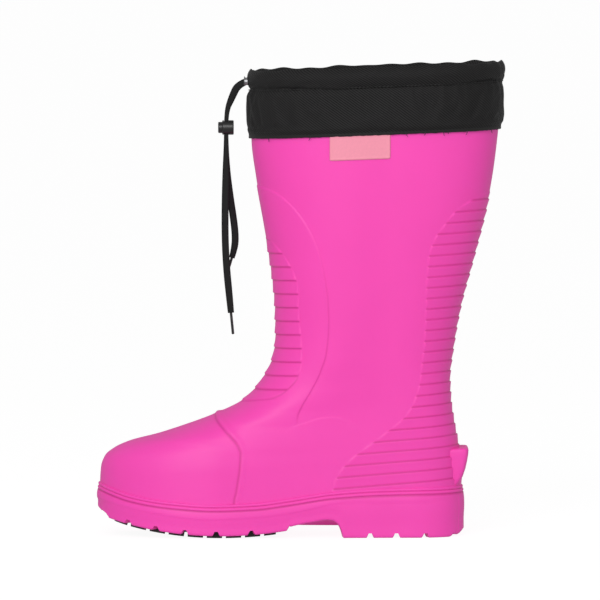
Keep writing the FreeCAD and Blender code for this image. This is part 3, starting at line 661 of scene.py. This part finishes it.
def build_spur():
    """Stacked rounded outlines that taper downwards and close over the top."""
    count, rings = 96, []
    angles = np.linspace(0, 2 * math.pi, count, endpoint=False)
    for z, back, half in SPUR_PROFILE:
        depth = (back - 30.0) / 2
        cos, sin = np.cos(angles), np.sin(angles)
        x = 30.0 + depth + depth * np.sign(cos) * np.abs(cos) ** SPUR_CORNER
        y = half * np.sign(sin) * np.abs(sin) ** SPUR_CORNER
        rings.append(np.column_stack([x, y, z + 0.06 * (x - 52)]))
    grid = np.stack(rings)
    obj = link_mesh("heel_spur", grid.reshape(-1, 3),
                    ring_faces(len(grid), count, cap_start=True, cap_end=True))
    set_attribute(obj, "crease_shade", np.zeros(len(obj.data.vertices)))
    return obj


heel_spur = build_spur()
print("spur:", len(heel_spur.data.polygons), "faces")

# %% [markdown]
# ## The felt inner boot and the insole
#
# Both lie inside the shell and show only from above.

# %% Felt boot and insole
def build_liner():
    columns = 160
    outer_levels = np.concatenate([np.arange(26, 60, 6.0), np.arange(60, 120, 3.0),
                                   np.arange(120, 336, 9.0), [338.0]])
    outer = cavity_rows(columns, 2.0, outer_levels)
    outer[..., 2] = np.maximum(outer[..., 2], footbed_height(outer[..., 0]) + 0.3)
    rim = [cavity_rows(columns, 2.0 + e, [338.0 + r])[0] for e, r in ((0.8, 1.2), (2.4, 1.8), (4.0, 1.2))]
    inner = cavity_rows(columns, 6.8, outer_levels[::-1])
    inner[..., 2] = np.maximum(inner[..., 2], footbed_height(inner[..., 0]) + 4.3)
    grid = np.concatenate([outer, np.stack(rim), inner])
    return link_mesh("felt_boot", grid.reshape(-1, 3),
                     ring_faces(len(grid), columns, cap_start=True, cap_end=True))


def build_insole():
    columns, rings = 160, []
    ring = cavity_rows(columns, 7.8, [52.0])[0]
    centre = ring[:, :2].mean(0)
    for share, rise in ((0.0, 0.0), (1.0, 0.0), (1.0, 3.2), (0.985, 4.0), (0.5, 4.0), (0.0, 4.0)):
        place = centre + (ring[:, :2] - centre) * [1.0 if share else 0.0, share]
        if share == 0.0:
            place = np.column_stack([ring[:, 0], np.full(columns, centre[1])])
        rings.append(np.column_stack([place, footbed_height(place[:, 0]) + 4.6 + rise]))
    grid = np.stack(rings)
    return link_mesh("foil_insole", grid.reshape(-1, 3), ring_faces(len(grid), columns))


felt_boot = build_liner()
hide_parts("felt_liner")
foil_insole = build_insole()
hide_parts("insole")
print("felt boot:", len(felt_boot.data.polygons), "faces; insole:", len(foil_insole.data.polygons))

# %% [markdown]
# ## The nylon collar
#
# The collar is cut as one tube of cloth that goes up the outside, folds over the top and comes down
# inside. It is cut a little too long round the leg. A cloth simulation with the hem, the stitched
# channel and the lining's foot held still lets the extra length settle into soft gathers.

# %% Collar shape
COLLAR_FORM = [(HEM_LEVEL, 2.0), (327, 2.2), (335, 2.6), (346, 3.1), (353, 3.2), (SEAM_LEVEL, 1.0),
               (362.5, 3.2), (367, 3.9), (371, 3.1), (TOP_LEVEL, 1.0)]
LINING_FORM = [(322.0, -6.2), (335, -6.2), (341, -4.2), (350, -2.8), (SEAM_LEVEL, -0.4),
               (362.5, -3.2), (367, -3.6), (371, -2.8), (TOP_LEVEL, -0.6)]
collar_form, lining_form = smooth_through(COLLAR_FORM), smooth_through(LINING_FORM)
COLLAR_COLUMNS, COLLAR_GIRTH = 280, 540.0


def collar_rows():
    """(level, offset, held) from the hem up the outside, over the top and down inside."""
    rows = []
    for level in np.concatenate([np.arange(HEM_LEVEL + 0.6, SEAM_LEVEL - 1, 1.7), [SEAM_LEVEL - 0.4]]):
        rows.append((level, float(collar_form(level)) - 0.35, level < HEM_LEVEL + 3.2))
    rows[-1] = (rows[-1][0], rows[-1][1], True)
    for level in np.concatenate([[SEAM_LEVEL + 0.4], np.arange(SEAM_LEVEL + 2, TOP_LEVEL - 0.5, 1.5)]):
        rows.append((level, float(collar_form(level)) - 0.35, False))
    for offset, rise in ((0.6, 0.2), (0.1, 0.5), (-0.4, 0.2)):
        rows.append((TOP_LEVEL + rise, offset, False))
    for level in np.concatenate([np.arange(TOP_LEVEL - 1.5, SEAM_LEVEL + 1, -2.0), [SEAM_LEVEL]]):
        rows.append((level, float(lining_form(level)), False))
    rows[-1] = (rows[-1][0], rows[-1][1], True)
    for level in np.arange(SEAM_LEVEL - 2.5, 322, -2.5):
        rows.append((level, float(lining_form(level)), level < 328))
    return rows


def uneven_wave(columns, lengths, seed):
    """A smooth uneven wave round the collar, about -1 to 1, from a few whole numbers of waves."""
    rng = np.random.default_rng(seed)
    angle = np.arange(columns) * 2 * math.pi / columns
    wave = sum(rng.uniform(0.5, 1.0) * np.sin(n * angle + rng.uniform(0, 2 * math.pi)) for n in lengths)
    return wave / (0.6 * len(lengths))


def build_collar():
    columns, rows = COLLAR_COLUMNS, collar_rows()
    tall = uneven_wave(columns, (5, 9, 14, 19, 23), 11)
    puff = uneven_wave(columns, (7, 13, 17, 24, 31), 5)
    pucker = uneven_wave(columns, (38, 47, 59, 66), 8)
    away = np.minimum(np.arange(columns), columns - np.arange(columns)) * COLLAR_GIRTH / columns
    corner = np.exp(-(away / 4.0) ** 2)
    lump = np.exp(-((away - 264) / 6.0) ** 2)
    dip = np.exp(-((away - 252) / 3.5) ** 2)
    rings = []
    for level, offset, held in rows:
        above = smoothstep(SEAM_LEVEL + 1, TOP_LEVEL, level)
        belly = math.exp(-((level - 344) / 9.0) ** 2)
        channel = smoothstep(SEAM_LEVEL, SEAM_LEVEL + 5, level)
        ring = outline(level, columns, -offset)
        pinch = math.exp(-((level - SEAM_LEVEL) / 5.0) ** 2)
        nudge = outline(level, columns, -offset - 1.0) - ring
        ring += nudge * (puff * (0.4 * channel + 0.15 * belly) + 0.28 * pucker * pinch
                         + (0.9 * lump - 0.7 * dip) * channel)[:, None]
        ring[:, 2] += above * (1.25 * tall + 1.6 * corner + 0.8 * lump - 0.9 * dip)
        rings.append(ring)
    grid = np.stack(rings)
    obj = link_mesh("nylon_collar", grid.reshape(-1, 3), ring_faces(len(grid), columns), body=None)
    uv = obj.data.uv_layers.new(name="cloth")
    lengths = lengths_along(grid[:, 0])
    around = np.arange(columns + 1) / columns * COLLAR_GIRTH
    r, c = np.meshgrid(np.arange(len(rows) - 1), np.arange(columns), indexing="ij")
    corners = np.stack([np.stack([around[c], lengths[r]], -1), np.stack([around[c + 1], lengths[r]], -1),
                        np.stack([around[c + 1], lengths[r + 1]], -1),
                        np.stack([around[c], lengths[r + 1]], -1)], 2)
    uv.data.foreach_set("uv", corners.reshape(-1).astype(np.float32))
    holds = obj.vertex_groups.new(name="hold")
    held = [i * columns + j for i, row in enumerate(rows) if row[2] for j in range(columns)]
    holds.add(held, 1.0, "REPLACE")
    return obj


# %% Collar cloth simulation
CLOTH_FRAMES, EXTRA_LENGTH, MAX_MOVE = 26, 0.014, 1.5


def wall_guard(columns=120):
    """A thin ring inside the cloth's two layers that keeps them off each other."""
    grid = np.stack([outline(level, columns, 1.6) for level in (312, 322, 333, 345, 353)])
    guard = link_mesh("wall_guard", grid.reshape(-1, 3), ring_faces(len(grid), columns), body=None)
    guard.modifiers.new("touch", "COLLISION")
    guard.collision.thickness_outer = guard.collision.thickness_inner = 0.0008
    guard.collision.cloth_friction = 2.0
    return guard


def settle_collar(obj):
    """Runs the cloth and keeps its result, with a cap on how far a point may go."""
    guard = wall_guard()
    before = vertex_places(obj.data)
    cloth = obj.modifiers.new("cloth", "CLOTH")
    settings = cloth.settings
    settings.quality = 6
    settings.mass = 0.2
    settings.tension_stiffness = settings.compression_stiffness = 20.0
    settings.shear_stiffness = 8.0
    settings.bending_stiffness = 1.2
    settings.air_damping = 2.0
    settings.vertex_group_mass = "hold"
    settings.shrink_min = -EXTRA_LENGTH
    settings.effector_weights.gravity = 0.25
    cloth.collision_settings.distance_min = 0.0008
    cloth.collision_settings.collision_quality = 3
    cloth.point_cache.frame_start, cloth.point_cache.frame_end = 1, CLOTH_FRAMES
    scene = bpy.context.scene
    for number in range(1, CLOTH_FRAMES + 1):
        scene.frame_set(number)
    depsgraph = bpy.context.evaluated_depsgraph_get()
    settled = bpy.data.meshes.new_from_object(obj.evaluated_get(depsgraph))
    obj.modifiers.remove(cloth)
    obj.data = settled
    move = vertex_places(settled) - before
    size = np.linalg.norm(move, axis=1, keepdims=True)
    move *= np.minimum(1.0, MAX_MOVE * MM / size.clip(1e-9))
    settled.vertices.foreach_set("co", (before + move).ravel())
    settled.update()
    scene.frame_set(1)
    bpy.data.objects.remove(guard)
    print("collar settled, mean move", round(float(size.mean()) / MM, 2), "mm, most",
          round(float(size.max()) / MM, 2), "mm")


nylon_collar = build_collar()
settle_collar(nylon_collar)
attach(nylon_collar, "boot")
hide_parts("collar_outer", "collar_lining")
thick = nylon_collar.modifiers.new("cloth_thickness", "SOLIDIFY")
thick.thickness = 0.0006
thick.offset = 0.0
smoother = nylon_collar.modifiers.new("finer", "SUBSURF")
smoother.levels = smoother.render_levels = 1
print("collar:", len(nylon_collar.data.polygons), "faces")

# %% [markdown]
# ## Hem binding, stitches, loose threads and label
#
# The hem is bound with a narrow tape that shows as a thin rough line under the cloth. Two rows of
# stitches hold it and close the channel. A few thread ends hang loose. The label is a soft tab caught
# under the hem on the outer side.

# %% Hem and stitches
STITCH_PITCH, STITCH_LENGTH, STITCH_SIDES = 3.1, 2.3, 6


def build_binding():
    columns = 560
    rng = np.random.default_rng(3)
    ragged = np.convolve(rng.normal(0, 0.16, columns + 4), np.ones(3) / 3, "same")[2:-2]
    rings = []
    for level, offset, loose in ((326.0, 1.1, 0), (324.0, 1.9, 0), (321.8, 2.05, 0.2), (320.6, 2.2, 0.6),
                                 (320.1, 1.9, 1.0), (320.0, 1.3, 1.0), (320.4, 0.7, 0.4),
                                 (322.5, 0.5, 0), (326.0, 0.6, 0)):
        ring = outline(level, columns, -offset)
        ring[:, 2] += loose * ragged
        rings.append(ring)
    grid = np.stack(rings)
    return link_mesh("hem_binding", grid.reshape(-1, 3), ring_faces(len(grid), columns, True))


def stitch_row(name, level, offset, pitch, length, radius):
    """A row of short thread stitches round the boot as one mesh."""
    ring = outline(level, 3600, -offset)
    along = lengths_along(ring)
    count = int(along[-1] / pitch)
    points, faces = [], []
    for i in range(count):
        middle = i * along[-1] / count
        at = np.array([middle - length / 2, middle, middle + length / 2]).clip(0, along[-1])
        spine = np.stack([np.interp(at, along, ring[:, k]) for k in range(3)], axis=1)
        run = spine[2] - spine[0]
        run /= np.linalg.norm(run) + 1e-9
        out = np.array([run[1], -run[0], 0.0])
        if out @ (spine[1] - [-20, 0, spine[1][2]]) < 0:
            out = -out
        up = np.cross(out, run)
        for along_by, size, sink in ((0.0, 0.25, -0.5), (0.18, 0.8, 0.0), (0.5, 1.0, 0.35),
                                     (0.82, 0.8, 0.0), (1.0, 0.25, -0.5)):
            centre = spine[0] + (spine[2] - spine[0]) * along_by + out * radius * sink
            for k in range(STITCH_SIDES):
                a = math.pi / 3 * k
                points.append(centre + radius * size * (math.cos(a) * out + math.sin(a) * up))
        faces += tube_faces(i * 5 * STITCH_SIDES, 5, STITCH_SIDES)
    return link_mesh(name, np.array(points), faces)


def loose_threads():
    """Short thread ends that hang under the hem."""
    rng = np.random.default_rng(21)
    ring = outline(HEM_LEVEL, 3600, -1.9)
    points, faces = [], []
    for x in (-104.0, -71.0, 3.5, 19.0, 33.0, 36.5, 52.0, 71.0):
        near = ring[:1800]
        start = near[np.argmin(np.abs(near[:, 0] - x))]
        length, lean = rng.uniform(1.6, 3.4), rng.uniform(-0.6, 0.6)
        base = len(points)
        for j in range(5):
            t = j / 4
            centre = start + [lean * length * t * t, -0.25 * math.sin(2.5 * t), 0.6 - (length + 0.6) * t]
            for k in range(5):
                a = 2 * math.pi / 5 * k
                points.append(centre + 0.36 * (1 - 0.4 * t) * np.array([math.cos(a), math.sin(a), 0]))
        faces += tube_faces(base, 5, 5)
    return link_mesh("loose_threads", np.array(points), faces)


hem_binding = build_binding()
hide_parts("collar_binding")
hem_stitches = stitch_row("hem_stitches", 324.9, 2.15, STITCH_PITCH, STITCH_LENGTH, 0.26)
channel_stitches = stitch_row("channel_stitches", SEAM_LEVEL, 1.5, STITCH_PITCH, STITCH_LENGTH,
                              0.28)
thread_ends = loose_threads()
print("stitches:", (len(hem_stitches.data.vertices) + len(channel_stitches.data.vertices)) // 30)

# %% Label
LABEL_LEFT, LABEL_RIGHT, LABEL_DROP = -56.0, -8.5, 19.4


def build_label():
    """A rounded tab, bent to the boot, with a raised edge."""
    low, high = HEM_LEVEL - LABEL_DROP, HEM_LEVEL + 2.0
    nx, nz, corner = 97, 45, 1.2
    front, back = [], []
    for j in range(nz):
        level = low + (high - low) * j / (nz - 1)
        ring = outline(level, 2400)[:1200]
        below = max(0.0, corner - (level - low))
        pull = corner - math.sqrt(max(0.0, corner ** 2 - below ** 2))
        xs = np.linspace(LABEL_LEFT + pull, LABEL_RIGHT - pull, nx)
        ys = np.interp(xs, ring[:, 0], ring[:, 1])
        edge = np.minimum(np.minimum(xs - LABEL_LEFT - pull, LABEL_RIGHT - pull - xs), level - low)
        rise = 0.35 + 0.7 * np.sqrt(np.clip(edge / 0.6, 0, 1)) + 0.2 * smoothstep(2.0, 1.3, edge)
        front.append(np.column_stack([xs, ys - rise, height_of(level, xs)]))
        back.append(np.column_stack([xs, ys - 0.25, height_of(level, xs)]))
    grid = np.array(front + back[::-1])
    faces = [[j * nx + i, j * nx + i + 1, (j + 1) * nx + i + 1, (j + 1) * nx + i]
             for j in range(2 * nz - 1) for i in range(nx - 1)]
    return link_mesh("side_tab", grid.reshape(-1, 3), faces)


side_tab = build_label()
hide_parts("side_label")
print("label:", LABEL_RIGHT - LABEL_LEFT, "mm wide")

# %% [markdown]
# ## The hidden run of the drawcord
#
# Inside the channel the cord follows the leg from one eyelet round to the other.

# %% Channel cord
CHANNEL_LEVEL, CHANNEL_SPANS, CHANNEL_CORD_RADIUS = 365.0, 20, 1.2
CHANNEL_END_Y, CHANNEL_END_SHIFT = 8.3, 0.7


def build_channel_cord():
    ring = outline(CHANNEL_LEVEL, CHANNEL_SPANS, 0.1)
    end_x, end_z = ring[0][0] + CHANNEL_END_SHIFT, ring[0][2]
    route = [(end_x, -CHANNEL_END_Y, end_z)] + [tuple(p) for p in ring[1:]]
    route.append((end_x, CHANNEL_END_Y, end_z))
    obj = nurbs_cord("channel_run", route)
    obj.data.bevel_depth = CHANNEL_CORD_RADIUS
    obj.data.bevel_resolution = 4
    return obj


channel_run = build_channel_cord()
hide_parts("channel_cord")
print("channel cord:", CHANNEL_SPANS, "spans")

# %% [markdown]
# ## Shared shader groups
#
# A group gives one varying effect, such as grain or weave. The finish itself stays in each material.

# %% Shader groups
def new_group(name, inputs, outputs):
    group = bpy.data.node_groups.new(name, "ShaderNodeTree")
    for label, value in inputs:
        item = group.interface.new_socket(label, in_out="INPUT", socket_type="NodeSocketFloat")
        item.default_value = value
    for label, kind in outputs:
        group.interface.new_socket(label, in_out="OUTPUT", socket_type=kind)
    return group, group.nodes.new("NodeGroupInput"), group.nodes.new("NodeGroupOutput")


def math_node(tree, operation, a, b=None, c=None):
    node = tree.nodes.new("ShaderNodeMath")
    node.operation = operation
    for socket, value in zip(node.inputs, (a, b, c)):
        if value is None:
            continue
        if isinstance(value, (int, float)):
            socket.default_value = value
        else:
            tree.links.new(value, socket)
    return node.outputs[0]


def noise_node(tree, scale, detail, vector=None, roughness=0.5):
    node = tree.nodes.new("ShaderNodeTexNoise")
    if isinstance(scale, (int, float)):
        node.inputs["Scale"].default_value = scale
    else:
        tree.links.new(scale, node.inputs["Scale"])
    node.inputs["Detail"].default_value = detail
    node.inputs["Roughness"].default_value = roughness
    if vector is not None:
        tree.links.new(vector, node.inputs["Vector"])
    return node.outputs["Fac"]


def grain_group():
    """Fine and broad unevenness: outputs Fine and Broad, both about 0.5."""
    group, source, sink = new_group("surface_grain", [("Fine scale", 900.0), ("Broad scale", 22.0)],
                                    [("Fine", "NodeSocketFloat"), ("Broad", "NodeSocketFloat")])
    place = group.nodes.new("ShaderNodeTexCoord").outputs["Object"]
    fine = noise_node(group, source.outputs["Fine scale"], 2.0, place)
    broad = noise_node(group, source.outputs["Broad scale"], 2.0, place)
    group.links.new(fine, sink.inputs["Fine"])
    group.links.new(broad, sink.inputs["Broad"])
    return group


def twill_group():
    """A diagonal weave on the cloth's own coordinates: outputs Thread, from 0 to 1."""
    group, source, sink = new_group("twill_weave", [("Pitch", 2.0), ("Lean", -0.71)],
                                    [("Thread", "NodeSocketFloat")])
    uv = group.nodes.new("ShaderNodeUVMap")
    uv.uv_map = "cloth"
    split = group.nodes.new("ShaderNodeSeparateXYZ")
    group.links.new(uv.outputs[0], split.inputs[0])
    lean = math_node(group, "MULTIPLY", split.outputs["X"], source.outputs["Lean"])
    diagonal = math_node(group, "SUBTRACT", split.outputs["Y"], lean)
    turn = math_node(group, "DIVIDE", diagonal, source.outputs["Pitch"])
    wave = math_node(group, "SINE", math_node(group, "MULTIPLY", turn, 2 * math.pi))
    cross_turn = math_node(group, "DIVIDE", split.outputs["X"], 0.45)
    cross = math_node(group, "SINE", math_node(group, "MULTIPLY", cross_turn, 2 * math.pi))
    both = math_node(group, "MULTIPLY_ADD", cross, 0.15, math_node(group, "MULTIPLY", wave, 0.35))
    group.links.new(math_node(group, "ADD", both, 0.5), sink.inputs["Thread"])
    return group


surface_grain, twill_weave = grain_group(), twill_group()
print("groups:", surface_grain.name, twill_weave.name)

# %% [markdown]
# ## Materials
#
# The foam is a matte pink with a faint grain and with painted shade in its creases. The cloth,
# cords, rubber, felt and plastics each have their own roughness and fine structure.

# %% Materials
def material(name, colour, roughness, spread, fine, broad, bump, bump_scale, **extra):
    """A Principled material whose colour varies by spread and whose surface has a fine grain."""
    mat = bpy.data.materials.new(name)
    mat.use_nodes = True
    tree = mat.node_tree
    shader = tree.nodes["Principled BSDF"]
    shader.inputs["Roughness"].default_value = roughness
    for key, value in extra.items():
        shader.inputs[key.replace("_", " ")].default_value = value
    group = tree.nodes.new("ShaderNodeGroup")
    group.node_tree = surface_grain
    group.inputs["Fine scale"].default_value = fine
    group.inputs["Broad scale"].default_value = broad
    ramp = tree.nodes.new("ShaderNodeMix")
    ramp.data_type = "RGBA"
    dark = [c * (1 - spread) for c in colour]
    light = [min(1.0, c * (1 + spread)) for c in colour]
    ramp.inputs["A"].default_value = (*dark, 1)
    ramp.inputs["B"].default_value = (*light, 1)
    tree.links.new(group.outputs["Broad"], ramp.inputs["Factor"])
    bumper = tree.nodes.new("ShaderNodeBump")
    bumper.inputs["Strength"].default_value = bump
    bumper.inputs["Distance"].default_value = bump_scale * MM
    tree.links.new(group.outputs["Fine"], bumper.inputs["Height"])
    tree.links.new(bumper.outputs["Normal"], shader.inputs["Normal"])
    tree.links.new(ramp.outputs["Result"], shader.inputs["Base Color"])
    return mat, tree, shader, ramp, bumper


def paint_crease_shade(tree, shader, colour_socket, depth, colour):
    """Paints shade into the creases: mixes a deeper colour into the base where the crease_shade attribute
    is high.
    """
    crease_shade = tree.nodes.new("ShaderNodeAttribute")
    crease_shade.attribute_name = "crease_shade"
    amount = math_node(tree, "MULTIPLY", crease_shade.outputs["Fac"], depth)
    mix = tree.nodes.new("ShaderNodeMix")
    mix.data_type = "RGBA"
    tree.links.new(math_node(tree, "MINIMUM", amount, 1.0), mix.inputs["Factor"])
    tree.links.new(colour_socket, mix.inputs["A"])
    mix.inputs["B"].default_value = (*colour, 1)
    tree.links.new(mix.outputs["Result"], shader.inputs["Base Color"])


def weave(tree, shader, ramp, bumper, strength):
    """Adds the twill to a cloth material's bump and colour."""
    twill = tree.nodes.new("ShaderNodeGroup")
    twill.node_tree = twill_weave
    bump = tree.nodes.new("ShaderNodeBump")
    bump.inputs["Strength"].default_value = strength
    bump.inputs["Distance"].default_value = 0.25 * MM
    tree.links.new(twill.outputs["Thread"], bump.inputs["Height"])
    tree.links.new(bumper.outputs["Normal"], bump.inputs["Normal"])
    tree.links.new(bump.outputs["Normal"], shader.inputs["Normal"])
    tree.links.new(twill.outputs["Thread"], ramp.inputs["Factor"])


foam_pink, tree, shader, ramp, bumper = material(
    "foam_pink", (0.92, 0.064, 0.455), 0.5, 0.03, 1400.0, 26.0, 0.3, 0.05,
    Subsurface_Weight=0.06, Subsurface_Scale=0.004, Specular_IOR_Level=0.35)
shader.inputs["Subsurface Radius"].default_value = (1.0, 0.3, 0.5)
# painted shade: a deeper pink mixed into the foam's grooves and creases
paint_crease_shade(tree, shader, ramp.outputs["Result"], 0.8, (0.50, 0.012, 0.17))

nylon_twill, tree, shader, ramp, bumper = material(
    "nylon_twill", (0.0140, 0.0136, 0.0138), 0.55, 1.0, 2600.0, 40.0, 0.2, 0.05,
    Sheen_Weight=0.02, Sheen_Roughness=0.4, Specular_IOR_Level=0.12)
weave(tree, shader, ramp, bumper, 0.8)

binding_tape = material("binding_tape", (0.011, 0.011, 0.011), 0.75, 0.35, 1800.0, 900.0, 0.6, 0.2,
                        Sheen_Weight=0.06, Specular_IOR_Level=0.25)[0]
thread_black = material("thread_black", (0.014, 0.014, 0.014), 0.65, 0.3, 3000.0, 500.0, 0.4, 0.1)[0]
lace_cord = material("lace_cord", (0.006, 0.006, 0.006), 0.7, 0.35, 2200.0, 1500.0, 0.8, 0.25,
                     Sheen_Weight=0.03, Specular_IOR_Level=0.25)[0]
tread_rubber = material("tread_rubber", (0.009, 0.009, 0.009), 0.6, 0.3, 1500.0, 60.0, 0.3, 0.1)[0]
felt_grey = material("felt_grey", (0.34, 0.34, 0.35), 0.95, 0.18, 700.0, 240.0, 0.8, 0.5,
                     Sheen_Weight=0.4)[0]
insole_felt = material("insole_felt", (0.42, 0.42, 0.43), 0.85, 0.12, 900.0, 300.0, 0.6, 0.3)[0]
label_coral = material("label_coral", (0.86, 0.285, 0.39), 0.6, 0.06, 1800.0, 700.0, 0.35, 0.1)[0]
black_plastic = material("black_plastic", (0.008, 0.008, 0.008), 0.36, 0.25, 1600.0, 80.0, 0.15, 0.03)[0]
eyelet_metal = material("eyelet_metal", (0.30, 0.30, 0.31), 0.34, 0.1, 1200.0, 90.0, 0.1, 0.02,
                        Metallic=1.0)[0]
spring_steel = material("spring_steel", (0.55, 0.55, 0.56), 0.3, 0.1, 1200.0, 90.0, 0.1, 0.02,
                        Metallic=1.0)[0]


def dress(obj, mat):
    """Gives an object its one material."""
    obj.data.materials.clear()
    obj.data.materials.append(mat)


for obj in (foam_upper, foam_sole, heel_spur):
    dress(obj, foam_pink)
for obj, mat, slot in ((nylon_collar, nylon_twill, "nylon"), (hem_binding, binding_tape, "nylon"),
                       (hem_stitches, thread_black, "nylon"), (channel_stitches, thread_black, "nylon"),
                       (thread_ends, thread_black, "nylon"),
                       (lace_near, lace_cord, "cord"), (lace_far, lace_cord, "cord"),
                       (channel_run, lace_cord, "cord"), (felt_boot, felt_grey, "felt"),
                       (foil_insole, insole_felt, "insole_foil"),
                       (side_tab, label_coral, "label_silicone"),
                       (nodes["forefoot_tread"], tread_rubber, "tread_rubber"),
                       (nodes["heel_tread"], tread_rubber, "tread_rubber"),
                       (nodes["eyelet_outer"], eyelet_metal, "eyelet_metal"),
                       (nodes["eyelet_inner"], eyelet_metal, "eyelet_metal"),
                       (nodes["aglet_near"], black_plastic, "black_plastic"),
                       (nodes["aglet_far"], black_plastic, "black_plastic"),
                       (nodes["lock_barrel"], black_plastic, "black_plastic"),
                       (nodes["lock_button"], black_plastic, "black_plastic"),
                       (nodes["lock_spring"], spring_steel, "spring_steel")):
    dress(obj, mat)
print("materials:", len(bpy.data.materials))

# %% [markdown]

# %% [markdown]
# ## Light, floor and background
#
# A large soft key light stands near the camera, a little to its left, a weak one to its right, and the
# room's own light comes from all round, so shapes stay soft. The pale floor shows only a trace of a
# shadow.

# %% Light
def area_light(name, place, aim, size, watts):
    data = bpy.data.lights.new(name, "AREA")
    data.size = size
    data.energy = watts
    obj = bpy.data.objects.new(name, data)
    obj.location = place
    obj.rotation_euler = (Vector(aim) - Vector(place)).to_track_quat("-Z", "Y").to_euler()
    bpy.context.scene.collection.objects.link(obj)
    return obj


key_light = area_light("key_light", (-0.55, -2.0, 1.1), (-0.06, 0.0, 0.16), 1.1, 28.0)
side_light = area_light("side_light", (1.4, -1.8, 0.5), (0.0, 0.0, 0.2), 0.8, 4.0)
print("lights:", key_light.name, side_light.name)

# %% Floor and background
FLOOR_HALF_WIDTH = 60000.0


def glowing_white(tree, kind, low, extra):
    """A white light source that is brighter by extra where the camera sees it directly."""
    glow, path = tree.nodes.new(kind), tree.nodes.new("ShaderNodeLightPath")
    tree.links.new(math_node(tree, "MULTIPLY_ADD", path.outputs["Is Camera Ray"], extra, low),
                   glow.inputs["Strength"])
    return glow


def pale_floor():
    mat = bpy.data.materials.new("pale_floor")
    mat.use_nodes = True
    tree = mat.node_tree
    tree.nodes.clear()
    glow = glowing_white(tree, "ShaderNodeEmission", 0.46, 0.47)
    diffuse = tree.nodes.new("ShaderNodeBsdfDiffuse")
    diffuse.inputs["Color"].default_value = (0.12, 0.12, 0.12, 1)
    both, sink = tree.nodes.new("ShaderNodeAddShader"), tree.nodes.new("ShaderNodeOutputMaterial")
    tree.links.new(glow.outputs[0], both.inputs[0])
    tree.links.new(diffuse.outputs[0], both.inputs[1])
    tree.links.new(both.outputs[0], sink.inputs["Surface"])
    half = FLOOR_HALF_WIDTH
    floor = link_mesh("floor", [(-half, -half, 0), (half, -half, 0), (half, half, 0), (-half, half, 0)],
                      [[0, 1, 2, 3]], body=None, smooth=False)
    floor.data.materials.append(mat)


pale_floor()
world = bpy.data.worlds.new("studio")
bpy.context.scene.world = world
world.use_nodes = True
tree = world.node_tree
tree.nodes.clear()
sky = glowing_white(tree, "ShaderNodeBackground", 0.46, 0.54)
sink = tree.nodes.new("ShaderNodeOutputWorld")
tree.links.new(sky.outputs[0], sink.inputs[0])
sky.inputs["Color"].default_value = (1, 1, 1, 1)
bpy.context.scene.view_settings.view_transform = "Standard"
print("floor and background are white")

# %% [markdown]
# ## Finish
#

# %% Finish
print("done")
